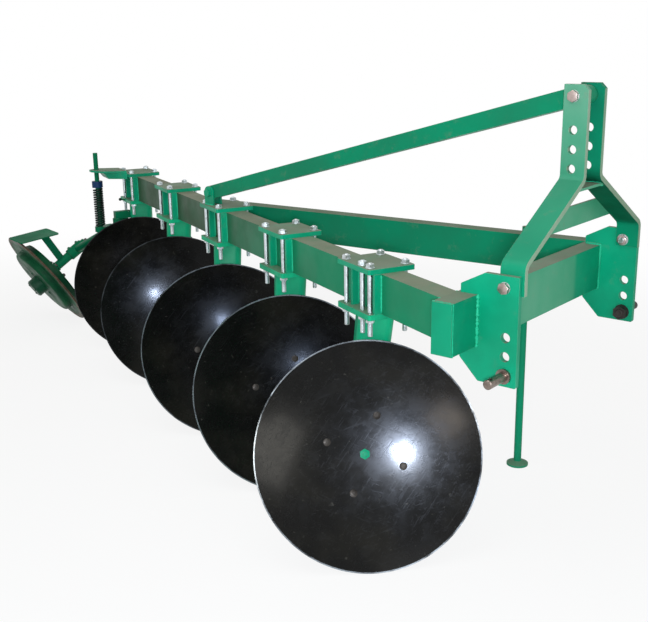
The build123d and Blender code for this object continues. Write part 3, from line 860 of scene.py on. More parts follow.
@dataclass(frozen=True)
class BareMetal:
    """Metal with no paint: a plated, turned, rolled or blackened surface with its stains."""

    name: str
    colour: str
    stain: str
    roughness: float
    grain: float
    stain_level: float = 0.6
    lines: float = 0.02

    def make(self) -> Material:
        """Build the material.

        Returns:
            The material.
        """
        s = Surface(self.name, self.colour)
        s.lay(s.patches(self.grain * 6, 0.45, 0.7, 0, self.stain_level, detail=6, rough=0.65), self.stain)
        gloss = s.patches(self.grain, 0.3, 0.7, self.roughness * 0.8, self.roughness * 1.35, detail=4)
        return s.close(gloss, s.grain(self.grain * 0.5, self.lines, 3), Metallic=1.0)


@dataclass(frozen=True)
class WheelEnamel:
    """Dark enamel on the cast furrow wheel, scoured to brown steel on its flange, from a radius in mm."""

    name: str
    home: Matrix
    colour: str = "#08502f"
    shade: str = "#073823"
    dust: str = "#3f4d3a"
    scoured: str = "#4b3c2d"
    bright: str = "#564a3c"
    flange_start: float = 266
    flange_full: float = 296

    def make(self) -> Material:
        """Build the material.

        Returns:
            The material.
        """
        s = Surface(self.name, self.colour, self.home)
        s.lay(s.patches(120, 0.35, 0.7), self.shade)
        s.lay(s.patches(40, 0.5, 0.75, 0, 0.14, detail=6, rough=0.7), self.dust)
        ragged = s.patches(55, 0.2, 0.8, -0.03, 0.03, detail=6)
        flange = s.reach(self.flange_start, self.flange_full, ragged)
        shiny = s.patches(18, 0.4, 0.65, detail=6)
        s.lay(flange, s.add("Mix", shiny, self.scoured, self.bright, data_type="RGBA"))
        metal = s.add("Math", flange, 0.2, operation="MULTIPLY")
        gloss = s.patches(70, 0.3, 0.7, 0.36, 0.6)
        return s.close(gloss, s.grain(9, 0.12, 4), Metallic=metal, Specular_IOR_Level=0.1)


@dataclass(frozen=True)
class CastEnamel:
    """Enamel on sand-cast iron: the sand's grain shows through the coat."""

    name: str
    colour: str
    shade: str
    dust: str = "#7e8270"
    grit: float = 2.6
    shine: float = 0.2
    edge_radius: float = 2.5

    def make(self) -> Material:
        """Build the material.

        Returns:
            The material.
        """
        s = Surface(self.name, self.colour)
        s.lay(s.patches(150, 0.35, 0.7), self.shade)
        s.lay(s.dust(50, 0.35, 0.75), self.dust)
        gloss = s.patches(60, 0.3, 0.7, 0.34, 0.52, detail=4)
        normal = s.grain(self.grit, 0.16, 4, Normal=s.edges(self.edge_radius)[1])
        return s.close(gloss, normal, Specular_IOR_Level=self.shine)


class Paintshop:
    """Every finish of the plough, made once.

    Args:
        layout: Places of the discs and the wheel, which their patterns follow.
    """

    DISC_WEAR = (0.8, 1.0, 0.7, 0.15, 0.1)

    def __init__(self, layout: Layout) -> None:
        """Build all the materials."""
        # Sprayed enamel on rolled plates and sections: the clean emerald that leads the picture.
        self.frame = SprayedEnamel("sprayed_green_enamel", "#029f75", "#038862").make()
        # The same coat under a film of pale dust: the bar and the spacer between the mast bars.
        self.dusty = SprayedEnamel("dusty_green_enamel", "#3f9e76", "#57a581", streak_level=0.3).make()
        # The cross tube's coat, clean outside the hitch plates and filmed with dust between them; the film
        # stops about 0.2 m short of the far plate, leaving painted shade on the tube beside it.
        near_low, near_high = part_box("hitch_plate_right")
        far_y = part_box("hitch_plate_left")[0].y
        between = ((near_low.y, near_high.y), (far_y - 0.17, far_y - 0.2))
        self.cross = SprayedEnamel("crossed_green_enamel", "#02976d", "#057f5c", streak_level=0.2,
                                   dust_film_and_shade="#4da27c", dust_film_and_shade_axis="Y", dust_film_and_shade_spans=between).make()
        # The frame's coat with little dust: the closed ends of the cross tube.
        self.clean = SprayedEnamel("clean_green_enamel", "#028e67", "#037b58", dust_level=0.7,
                                   streak_level=0.05).make()
        # The mast's coat, which pales with height; its pale edges are worn paint and a painted highlight, and
        # the faces that look ahead carry a painted highlight.
        self.mast = SprayedEnamel("weathered_green_enamel", "#0b8f68", "#0f8561", streak_level=0.25,
                                  edge="#a3b69c", wear_level=0.95, front="#94ab90", dust_film_and_shade="#5f9f81",
                                  dust_film_and_shade_spans=((0.95, 1.45),)).make()
        # The far mast bar's coat, with painted shade on the slope that leans away from the light and a painted
        # highlight on the faces that look ahead.
        self.mast_far = SprayedEnamel("shadowed_green_enamel", "#0a8a63", "#12795a", streak_level=0.1,
                                      shine=0.03, edge="#8fa68c", front="#94ab90", dust_film_and_shade="#0a5036",
                                      dust_film_and_shade_spans=((0.95, 0.99), (1.2, 1.14))).make()
        # A deeper coat, painted shade for the top stay, the brace and the stand, which stand further back and
        # get less light.
        self.shaded = SprayedEnamel("shaded_green_enamel", "#0b8a62", "#1a7d5a", streak_level=0.25,
                                    shine=0.08).make()
        # The coat of the wheel's gear, deep and clean: the darkest greens of the picture.
        self.gear = SprayedEnamel("deep_green_enamel", "#07754e", "#0a6142", dust_level=0.04,
                                  streak_level=0.08, shine=0.06).make()
        # The beam's coat, darker and browner towards the tail: painted shade where the light falls off along
        # the beam.
        tail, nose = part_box("main_beam")
        self.beam = BeamEnamel("beam_green_enamel", "#0d8159", "#2f4c34", nose.x - 0.6, tail.x + 0.9).make()
        # Enamel on the castings that carry the discs: the same green with a grain.
        self.cast = CastEnamel("cast_green_enamel", "#04ac79", "#07966a").make()
        # Weld metal under the enamel: a touch lighter, because it catches the light.
        self.weld = CastEnamel("weld_green_enamel", "#22b689", "#0f9c72", grit=4).make()
        # Lacquered spring steel of the blades: near black, each edge ground as bright as the picture has it.
        self.discs = []
        for index, wear in enumerate(self.DISC_WEAR):
            name = f"black_lacquered_spring_steel_{index + 1}"
            self.discs.append(LacqueredDisc(name, layout.dish(index), wear).make())
        # Zinc plate on the clamp studs and nuts: pale blue-grey.
        self.zinc = BareMetal("zinc_plated_steel", "#cdd5d8", "#94958f", 0.34, 6).make()
        # Turned steel of the near hitch pin: brownish from oil and rust.
        self.pin = BareMetal("turned_pin_steel", "#8c7f77", "#43362f", 0.34, 5).make()
        # Bolt steel with a rusty bloom: the pinkish heads on the mast.
        self.bolt = BareMetal("rusty_bolt_steel", "#b8a8a2", "#7d6058", 0.36, 5).make()
        # Blackened steel: the grey dots on the discs, the dark ones on the gear and the far pin.
        self.black = BareMetal("blackened_bolt_steel", "#484542", "#2c2927", 0.5, 5).make()
        # Spring wire in thin dark enamel, black between the turns.
        self.spring = CastEnamel("dark_green_spring_enamel", "#0a2a1f", "#071812", dust="#15291f").make()
        # Blue enamel of the spring's collar.
        self.collar = SprayedEnamel("blue_collar_enamel", "#0d3059", "#092443", edge="#26456c",
                                    dust_level=0.1).make()
        # Dark enamel of the furrow wheel with a scoured flange.
        self.wheel = WheelEnamel("dark_green_wheel_enamel", layout.wheel).make()
        # The same dark enamel on the wheel's cap and rivets, which no soil scours.
        self.cap = CastEnamel("dark_green_cap_enamel", "#0a4a30", "#093524", dust="#2a4636").make()

    def coat(self, nodes: dict[str, bpy.types.Object]) -> None:
        """Give each CAD node the first finish whose words its name starts with, or else the frame's.

        Args:
            nodes: CAD objects by name.
        """
        finishes = {
            "main_beam": self.beam, "lower_pin_left": self.black, "lower_pin": self.pin,
            "standard_": self.cast, "disc_hub": self.cast, "wheel_collar": self.collar,
            "wheel_cap": self.cap, "disc_blade": self.discs[0], "clamp_studs": self.zinc,
            "mast_bolts": self.bolt, "wheel_spring": self.spring, "furrow_wheel": self.wheel,
            "mast_bar_left": self.mast_far, "mast_bar": self.mast, "mast_": self.dusty,
            "cross_tube": self.cross, "top_stay": self.shaded, "brace_beam": self.shaded,
            "wheel_arm": self.frame, "end_caps": self.clean, "wheel_": self.gear, "stand": self.shaded,
        }
        for name, node in nodes.items():
            finish = next((m for start, m in finishes.items() if name.startswith(start)), self.frame)
            if not node.material_slots:
                node.data.materials.append(finish)
            for place in node.material_slots:
                place.material = finish
            log.info("%s: %s", name, finish.name)


# Sub-assemblies


@dataclass
class DiscGang:
    """The five blades with their bolts, drawn smooth where the CAD's are faceted."""

    layout: Layout
    paints: Paintshop
    thick: float = 6
    edge_bevel: float = 14
    rings: int = 22
    sides: int = 144
    bolt_circle: float = 127
    bolt_turn: float = -20.5
    turn_step: float = 8.5
    bolt_count: int = 4
    bolt_nut: NutSize = NutSize(24, 13, 8, 15, 2.5, 2.5)
    bolt_end: float = 24
    bolt_thread: tuple[float, float] = (16, 23)
    head_radius: float = 12.5
    head_height: float = 3.2
    centre_across: float = 30
    centre_height: float = 6
    centre_tip: Outline = ((7, 5), (7, 7.5), (5.5, 8.5), (0, 8.5))
    flange_start: float = 84
    flange_slope: float = 10.3
    neck_radius: float = 55

    def blade(self, index: int) -> None:
        """Build one blade as a smooth dish with a ground edge.

        Args:
            index: Number of the disc, from 0.
        """
        lay = self.layout
        hollow = lay.dish_radius
        rim = lay.disc_radius
        steps = range(self.rings + 1)
        back = (hollow + self.thick, rim - self.edge_bevel, steps[::-1])
        profile = []
        for sphere, reach, order in ((hollow, rim, steps), back):
            for step in order:
                r = reach * step / self.rings
                profile.append((r, hollow - math.sqrt(sphere**2 - r * r)))
        profile.insert(self.rings + 1, (rim, lay.dish_depth - lay.edge_land))
        draft = Draft(f"disc_{index + 1}_blade")
        draft.lathe(lay.dish(index), profile, self.paints.discs[index], self.sides)
        draft.done(Slot.DISC, [f"disc_blade_{index + 1}"], f"disc_{index + 1}")

    def bolts(self, index: int) -> None:
        """Build the domed heads in the hollow, the painted centre bolt and the nuts behind.

        Args:
            index: Number of the disc, from 0.
        """
        lay = self.layout
        paints = self.paints
        frame = lay.dish(index)
        draft = Draft(f"disc_{index + 1}_bolts")
        h = self.head_height
        r = self.head_radius
        dome = [(r, -1), (r, h * 0.35), (r * 0.8, h * 0.8), (r * 0.42, h), (r * 0.38, h * 0.45), (0, h * 0.4)]
        lift = lay.dish_radius - math.sqrt(lay.dish_radius**2 - self.bolt_circle**2)
        slope = math.tan(math.radians(self.flange_slope))
        back = self.flange_start + (self.bolt_circle - self.neck_radius) * slope - lay.dish_seat
        lean = math.sin(self.bolt_circle / lay.dish_radius)
        for c, s in circle(self.bolt_count, math.radians(self.bolt_turn + index * self.turn_step)):
            x, y = self.bolt_circle * c, self.bolt_circle * s
            draft.lathe(aimed(frame, (x, y, lift), (-c * lean, -s * lean, 1)), dome, paints.black, 20)
            behind = aimed(frame, (x, y, back), (c * lean, s * lean, -1))
            draft.nut_on_washer(behind, self.bolt_nut, paints.zinc, paints.zinc)
            draft.screw(behind, self.bolt_nut.bore, 0, self.bolt_end, paints.zinc, [self.bolt_thread])
        centre = paints.frame if index == 0 else paints.black
        draft.nut(shifted(frame, z=-0.5), self.centre_across, self.centre_height, centre)
        draft.lathe(frame, self.centre_tip, centre, 16)
        draft.done(Slot.STEEL, body=f"disc_{index + 1}")

    def build(self) -> None:
        """Build every disc."""
        for index in range(self.layout.disc_count):
            self.blade(index)
            self.bolts(index)


@dataclass
class ClampHardware:
    """Studs, nuts and washers that hold the standards under the beam."""

    layout: Layout
    paints: Paintshop
    along: float = 150
    across: float = 125
    radius: float = 8
    tail: float = 58
    nut: NutSize = NutSize(24, 12, 8, 14.5, 2.5, 1.0)
    nut_top: float = 13
    top: float = 3
    thread_above: float = 48
    spare_place: tuple[float, float] = (-28, 62.5)
    spare_turn: float = 0.4

    def stud(self, draft: Draft, place: Matrix, turn: float) -> None:
        """Build one stud with its two nuts.

        Args:
            draft: Piece that gets it.
            place: Frame on the beam's top, with Z up.
            turn: Turn of the upper nut in radians.
        """
        lay = self.layout
        zinc = self.paints.zinc
        low = -lay.beam_height - lay.flange_thick
        head = lay.clamp_thick + self.nut_top
        threads = [(low - self.tail + 3, low - self.nut_top - 1),
                   (low + lay.flange_thick + 2, low + self.thread_above)]
        draft.screw(place, self.radius, low - self.tail, head + self.top, zinc, threads)
        upper = shifted(place, z=lay.clamp_thick) @ Matrix.Rotation(turn, 4, "Z")
        for spot in (upper, aimed(place, (0, 0, low), (0, 0, -1))):
            draft.nut_on_washer(spot, self.nut, zinc, zinc)

    def build(self) -> None:
        """Build the studs of every clamp, and the spare one that the first clamp carries, as one piece."""
        draft = Draft("clamp_stud_set")
        for index in range(self.layout.disc_count):
            clamp = self.layout.clamp(index)
            for sx in (-1, 1):
                for sy in (-1, 1):
                    place = shifted(clamp, sx * self.along / 2, sy * self.across / 2)
                    self.stud(draft, place, index * 0.7 + sx + 2 * sy)
        self.stud(draft, shifted(self.layout.clamp(0), *self.spare_place), self.spare_turn)
        draft.done(Slot.STEEL, ["clamp_studs"])


@dataclass
class BearingTrim:
    """Cap bolts and grease nipple of each disc's bearing housing."""

    layout: Layout
    paints: Paintshop
    rear: float = -87
    bolt_circle: float = 37
    bolt_count: int = 5
    bolt_turn: float = 0.3
    bolt: NutSize = NutSize(13, 6, 4, 9, 1.6, 1.2)
    nipple_place: tuple[float, float, float] = (0, 63.7, -38)
    nipple: Outline = ((7, -2), (7, 5), (5.5, 6), (5.5, 11), (3.4, 12), (3.4, 16), (4.2, 17), (4.2, 19),
                       (2.5, 20.5), (0, 20.5))

    def build(self) -> None:
        """Build the trim of all five housings as one piece."""
        zinc = self.paints.zinc
        draft = Draft("bearing_trim")
        for index in range(self.layout.disc_count):
            hub = self.layout.hub(index)
            for c, s in circle(self.bolt_count, self.bolt_turn):
                spot = aimed(hub, (self.bolt_circle * c, self.bolt_circle * s, self.rear), (0, 0, -1))
                draft.nut_on_washer(spot, self.bolt, zinc, zinc)
            draft.lathe(aimed(hub, self.nipple_place, (0, 1, 0)), self.nipple, zinc, 14)
        draft.done(Slot.STEEL)


@dataclass
class MastHardware:
    """Bolts of the mast: one at each foot and the long one through the top stay."""

    layout: Layout
    paints: Paintshop
    foot_place: tuple[float, float] = (-44, 906)
    top_level: float = 1394
    radius: float = 10
    height: float = 13
    outer_nut: NutSize = NutSize(30, 11.5, 10, 17, 2.4, 1.5)
    inner_nut: NutSize = NutSize(30, 11.5, 10, 19, 2.4, 1.5)
    bar: float = 16
    gap_half: float = 47

    def foot(self, draft: Draft, sign: int) -> None:
        """Bolt a mast bar's foot to its hitch plate.

        Args:
            draft: Piece that gets the bolt.
            sign: Side of the plough, -1 or 1.
        """
        lay = self.layout
        paints = self.paints
        x, z = self.foot_place
        grip = lay.plate_outer - lay.plate_inner + self.bar
        outside = aimed(lay.hitch, (x, sign * lay.plate_outer, z), (0, sign, 0))
        inside = aimed(lay.hitch, (x, sign * (lay.plate_outer - grip), z), (0, -sign, 0))
        draft.nut_on_washer(outside, self.outer_nut, paints.zinc, paints.bolt)
        draft.nut_on_washer(inside, self.inner_nut, paints.zinc, paints.bolt)
        tail = -grip - self.height
        draft.screw(outside, self.radius * 0.97, tail - 5, self.height / 2, paints.zinc, [(tail - 4, tail)])

    def build(self) -> None:
        """Build the three bolts as one piece."""
        draft = Draft("mast_bolt_set")
        bolt = self.paints.bolt
        for sign in (-1, 1):
            self.foot(draft, sign)
        reach = self.gap_half + self.bar
        end = reach + self.height
        through = aimed(self.layout.hitch, (self.layout.link_x, 0, self.top_level), (0, 1, 0))
        draft.screw(through, self.radius, -reach - self.height / 2, end + 5, bolt, [(end, end + 4)])
        for sign in (-1, 1):
            face = aimed(through, (0, 0, sign * reach), (0, 0, sign))
            draft.nut_on_washer(face, self.outer_nut, self.paints.zinc, bolt)
        draft.done(Slot.STEEL, ["mast_bolts"])


@dataclass
class Weldwork:
    """Weld beads of the frame, each set in the corner that it fills."""

    layout: Layout
    paints: Paintshop
    seat: float = 1.5
    plate_reach: float = -178
    rib_places: tuple[float, float] = (-100, 38)
    rib_thick: float = 10
    rib_end: float = 4
    cap_seam: float = 537
    tie_face: float = -70
    tie_inset: float = 4.5
    tie_levels: tuple[float, float] = (1001, 1062)
    spacer_levels: tuple[float, float] = (1127, 1135)
    spacer_reach: tuple[float, float] = (-61, 0)
    spacer_inset: float = 17
    ear_outside: float = 24
    ear_half: float = 26
    pad_half: float = 13
    pad_height: float = 108
    arm_edge: float = 81
    arm_reach: tuple[float, float] = (-57, 92)
    crank_seams: tuple[float, ...] = (1.5, 98.5, 196.5)
    crank_radius: float = 26.5
    crank_steps: int = 26

    def plates(self) -> None:
        """Weld the hitch plates to the cross tube, coarsely outside, and the end caps to their stubs."""
        lay = self.layout
        weld = self.paints.weld
        draft = Draft("hitch_welds")
        high = lay.frame_top
        low = high - lay.cross_height
        for sign in (-1, 1):
            outside = (lay.plate_outer + self.seat, 4.5, 0.35)
            for face, radius, lumps in (outside, (lay.plate_inner - self.seat, 4, Draft.RIPPLE)):
                y = sign * face
                front = lay.cross_front + radius * 0.6
                run = [(front, y, low - self.seat), (front, y, high + self.seat)]
                if face < lay.plate_outer:
                    run = [(self.plate_reach, y, run[0][2]), *run, (self.plate_reach, y, run[1][2])]
                draft.bead(lay.hitch, run, weld, radius, lumps=lumps)
            y = sign * self.cap_seam
            run = [(lay.cross_rear, y, high), (lay.cross_front, y, high), (lay.cross_front, y, low),
                   (lay.cross_rear, y, low)]
            draft.bead(lay.hitch, run, weld, 1.6, closed=True, lumps=0.4)
        draft.done(Slot.GREEN)

    def mast(self) -> None:
        """Weld the cross bar and the spacer between the mast bars."""
        lay = self.layout
        draft = Draft("mast_welds")
        for sign in (-1, 1):
            ends = [(self.tie_face, sign * (lay.mast_y(z) - self.tie_inset), z) for z in self.tie_levels]
            draft.bead(lay.hitch, ends, self.paints.weld, 3.5)
            for level, lift in zip(self.spacer_levels, (-self.seat, self.seat)):
                y = sign * (lay.mast_y(level) - self.spacer_inset)
                run = [(x, y, level + lift) for x in self.spacer_reach]
                draft.bead(lay.hitch, run, self.paints.weld, 3)
        draft.done(Slot.GREEN)

    def brackets(self) -> None:
        """Weld the stay's lug, the stand's sleeve, the wheel's arm and the crank."""
        lay = self.layout
        paints = self.paints
        draft = Draft("bracket_welds")
        base = shifted(lay.clamp(lay.disc_count // 2), *lay.stay_base, lay.clamp_thick).translation
        ahead = base - lay.hitch.translation
        lug = aimed(Matrix.Translation(base), (0, 0, 0), (0, 0, 1), (ahead.x, ahead.y, 0))
        wall = -lay.stand_out + self.seat
        for sign in (-1, 1):
            y = sign * (self.ear_outside + self.seat)
            draft.bead(lug, [(x, y, self.seat) for x in (-self.ear_half, self.ear_half)], paints.weld, 3.5)
            x = sign * (self.pad_half + self.seat)
            draft.bead(lay.stand, [(x, wall, -2), (x, wall, -self.pad_height)], paints.weld, 3.2)
        run = [(x, self.arm_edge, lay.clamp_thick + self.seat) for x in self.arm_reach]
        draft.bead(lay.clamp(lay.disc_count - 1), run, paints.gear, 3)
        seam = [(self.crank_radius * c, self.crank_radius * s, 0) for c, s in circle(self.crank_steps)]
        for along in self.crank_seams:
            draft.tube(shifted(lay.crank, z=along), seam, 3.5, paints.gear, lumps=Draft.RIPPLE, closed=True)
        draft.done(Slot.GREEN)

    def beams(self) -> None:
        """Weld the beam and the brace to the cross tube, and the brace to the beam."""
        lay = self.layout
        draft = Draft("beam_welds")
        x = lay.cross_rear - self.seat
        top = lay.frame_top + self.seat
        low = lay.frame_top - lay.beam_height - self.seat
        back = lay.beam_back
        start = Vector((*lay.clamp_start, 0))
        middle = start.y + back.y * (lay.cross_rear - start.x) / back.x
        brace_wide = lay.brace_half + self.seat
        for y, wide in ((middle, lay.beam_half / abs(back.x) + self.seat), (lay.brace_front, brace_wide)):
            run = [(x, y - wide, top), (x, y - wide, low), (x, y + wide, low), (x, y + wide, top)]
            draft.bead(lay.hitch, run, self.paints.weld)
        across = Vector((back.y, -back.x, 0))
        face = start + across * (lay.beam_half + self.seat)
        along = direction(180 + lay.brace_angle, 0)
        side = Vector((-along.y, along.x, 0))
        corners = []
        for sign, z in ((-1, top), (-1, low), (1, low), (1, top)):
            origin = Vector((lay.cross_rear, lay.brace_front, 0)) + side * (sign * brace_wide)
            hit = origin + along * ((face - origin).dot(across) / along.dot(across))
            corners.append((hit.x, hit.y, z))
        draft.bead(lay.hitch, corners, self.paints.weld)
        draft.done(Slot.GREEN)

    def ribs(self) -> None:
        """Weld the ribs to the beam's side."""
        lay = self.layout
        draft = Draft("rib_welds")
        y = lay.beam_half + 1
        for index in range(lay.disc_count):
            for place in self.rib_places:
                for sign in (-1, 1):
                    x = place + sign * (self.rib_thick / 2 + 1)
                    run = [(x, y, -self.rib_end), (x, y, self.rib_end - lay.beam_height)]
                    draft.bead(lay.clamp(index), run, self.paints.weld, 3.2)
        draft.done(Slot.GREEN)

    def build(self) -> None:
        """Lay every bead."""
        self.plates()
        self.mast()
        self.beams()
        self.ribs()
        self.brackets()


@dataclass
class FurrowWheel:
    """The leaning wheel with its scoured flange, drawn smooth, and the rivets and screws of its middle."""

    layout: Layout
    paints: Paintshop
    drum: float = 210
    front: float = 43
    back: float = -46
    round: float = 18
    round_steps: int = 7
    wall: float = 14
    groove_width: float = 5
    groove_depth: float = 8
    ring: float = 205
    ring_back: float = -52
    face: float = 10
    hub: float = 45
    bore: float = 20.5
    fillet: float = 3
    rim_ease: float = 2
    rivet_count: int = 6
    rivet_circle: float = 72
    rivet: Outline = ((8, -1), (8, 1.5), (6.5, 3.5), (3, 4.8), (0, 5))
    screw_count: int = 3
    screw_circle: float = 34
    screw_turn: float = 0.4
    screw_across: float = 10
    screw_height: float = 4
    cap_top: float = 97

    def wheel(self) -> None:
        """Build the wheel as one smooth turning."""
        inner = self.drum - self.wall
        face_back = self.front - self.face
        half = self.layout.rim_thick / 2
        rim = self.layout.wheel_radius
        root = self.drum - self.groove_depth
        groove = self.back + self.groove_width
        profile = [
            (self.bore, self.ring_back), (self.hub, self.ring_back), (self.hub, face_back), (inner, face_back),
            (inner, self.ring_back), (self.ring, self.ring_back), (self.ring, self.back), (root, self.back),
            (root, groove), (self.drum, groove), (self.drum, -half - self.fillet),
            (self.drum + self.fillet, -half), (rim - self.rim_ease, -half), (rim, self.rim_ease - half),
            (rim, half - self.rim_ease), (rim - self.rim_ease, half), (self.drum + self.fillet, half),
            (self.drum, half + self.fillet), (self.drum, self.front - self.round),
        ]
        for i in range(1, self.round_steps + 1):
            angle = math.radians(i * 90 / self.round_steps)
            profile.append((self.drum - self.round * (1 - math.cos(angle)),
                            self.front - self.round * (1 - math.sin(angle))))
        profile.append((self.bore, self.front))
        draft = Draft("furrow_wheel_turned")
        draft.lathe(self.layout.wheel, profile, self.paints.wheel, 128, around=True)
        draft.done(Slot.WHEEL, ["furrow_wheel"], Body.WHEEL.value)

    def middle(self) -> None:
        """Build the low rivets round the drum's face and the screws on its cap."""
        frame = self.layout.wheel
        cap = self.paints.cap
        draft = Draft("furrow_wheel_bolts")
        for c, s in circle(self.rivet_count):
            spot = shifted(frame, self.rivet_circle * c, self.rivet_circle * s, self.front)
            draft.lathe(spot, self.rivet, cap, 20)
        for c, s in circle(self.screw_count, self.screw_turn):
            spot = shifted(frame, self.screw_circle * c, self.screw_circle * s, self.cap_top)
            draft.nut(spot, self.screw_across, self.screw_height, cap)
        draft.done(Slot.WHEEL, body=Body.WHEEL.value)

    def build(self) -> None:
        """Build the wheel, its rivets and its screws."""
        self.wheel()
        self.middle()


@dataclass
class SpringGear:
    """The coil spring of the wheel's rod, a round wire between its two seats."""

    layout: Layout
    paints: Paintshop
    radius: float = 27
    wire: float = 9.5
    pitch: float = 12.5
    low: float = 600
    high: float = 811
    seat_gap: float = 0.6
    steps_per_turn: int = 30

    def build(self) -> None:
        """Build the spring."""
        bottom = self.low + self.wire / 2 + self.seat_gap
        length = self.high - self.low - self.wire - 2 * self.seat_gap
        turns = length / self.pitch
        count = int(turns * self.steps_per_turn)
        mid = self.radius - self.wire / 2
        line = []
        for i in range(count + 1):
            angle = 2 * math.pi * turns * i / count
            line.append((mid * math.cos(angle), mid * math.sin(angle), bottom + length * i / count))
        draft = Draft("wheel_coil_spring")
        draft.tube(self.layout.rod, line, self.wire / 2, self.paints.spring, 12)
        draft.done(Slot.SPRING, ["wheel_spring"])


@dataclass
class GearTrim:
    """Fasteners of the wheel's gear, the catch at the last clamp and the ring of the stand's lock pin."""

    layout: Layout
    paints: Paintshop
    plate_corner: float = 38
    bar_length: float = 218
    sleeve_radius: float = 33
    pinch_places: tuple[float, float] = (120, 175)
    catch_start: tuple[float, float, float] = (24, 78, -134)
    catch_end: tuple[float, float, float] = (5, 110, -127)
    knob_radius: float = 8
    knob_steps: int = 10
    pin_reach: float = 40
    pin_drop: float = 55
    ring_radius: float = 14
    ring_wire: float = 1.8
    ring_steps: int = 28

    def bolt(self, draft: Draft, spot: Matrix, across: float, height: float, finish: Material) -> None:
        """Build a hexagonal head on a washer, with the end of its shank.

        Args:
            draft: Piece that gets it.
            spot: Frame on the face, with Z out of it.
            across: Width across the flats.
            height: Height of the head.
            finish: Material of all of it.
        """
        radius = across * 0.3
        draft.nut_on_washer(spot, NutSize(across, height, radius, across * 0.62, 2, 1.4), finish, finish)
        draft.screw(spot, radius, 0, height + 5, finish, [(height + 1.5, height + 4)])

    def fasteners(self) -> None:
        """Build the bolts of the crank as one piece."""
        lay = self.layout
        black = self.paints.black
        draft = Draft("gear_bolts")
        plate = aimed(lay.hitch, lay.wheel_middle - lay.wheel_axis * lay.crank_back, -lay.wheel_axis, (0, 0, 1))
        for sx in (-1, 1):
            for sy in (-1, 1):
                place = shifted(plate, sx * self.plate_corner, sy * self.plate_corner)
                self.bolt(draft, place, 17, 8, black)
        self.bolt(draft, shifted(lay.crank, z=self.bar_length), 30, 16, black)
        for along in self.pinch_places:
            place = aimed(lay.crank, (self.sleeve_radius - 1, 0, along), (1, 0, 0))
            self.bolt(draft, place, 15, 6, self.paints.gear)
        draft.done(Slot.STEEL)

    def handles(self) -> None:
        """Build the catch with its knob and the pull ring as one piece."""
        lay = self.layout
        draft = Draft("gear_handles")
        clamp = lay.clamp(lay.disc_count - 1)
        draft.tube(clamp, [self.catch_start, self.catch_end], 4, self.paints.gear, 12)
        angles = [math.radians(-90 + 180 * i / self.knob_steps) for i in range(self.knob_steps + 1)]
        knob = [(self.knob_radius * math.cos(a), self.knob_radius * math.sin(a)) for a in angles]
        draft.lathe(shifted(clamp, *self.catch_end), knob, self.paints.spring, 20)
        middle = -self.pin_drop - self.ring_radius
        ring = [(self.ring_radius * s, self.pin_reach, middle + self.ring_radius * c)
                for c, s in circle(self.ring_steps)]
        draft.tube(lay.stand, ring, self.ring_wire, self.paints.zinc, closed=True)
        draft.done(Slot.STEEL)

    def build(self) -> None:
        """Build the fasteners and the handles."""
        self.fasteners()
        self.handles()


# Studio


@dataclass(frozen=True)
class Lamp:
    """A square area lamp: its place in the hitch's millimetres, side in millimetres, watts and colour."""

    place: tuple[float, float, float]
    size: float
    watts: float
    colour: str


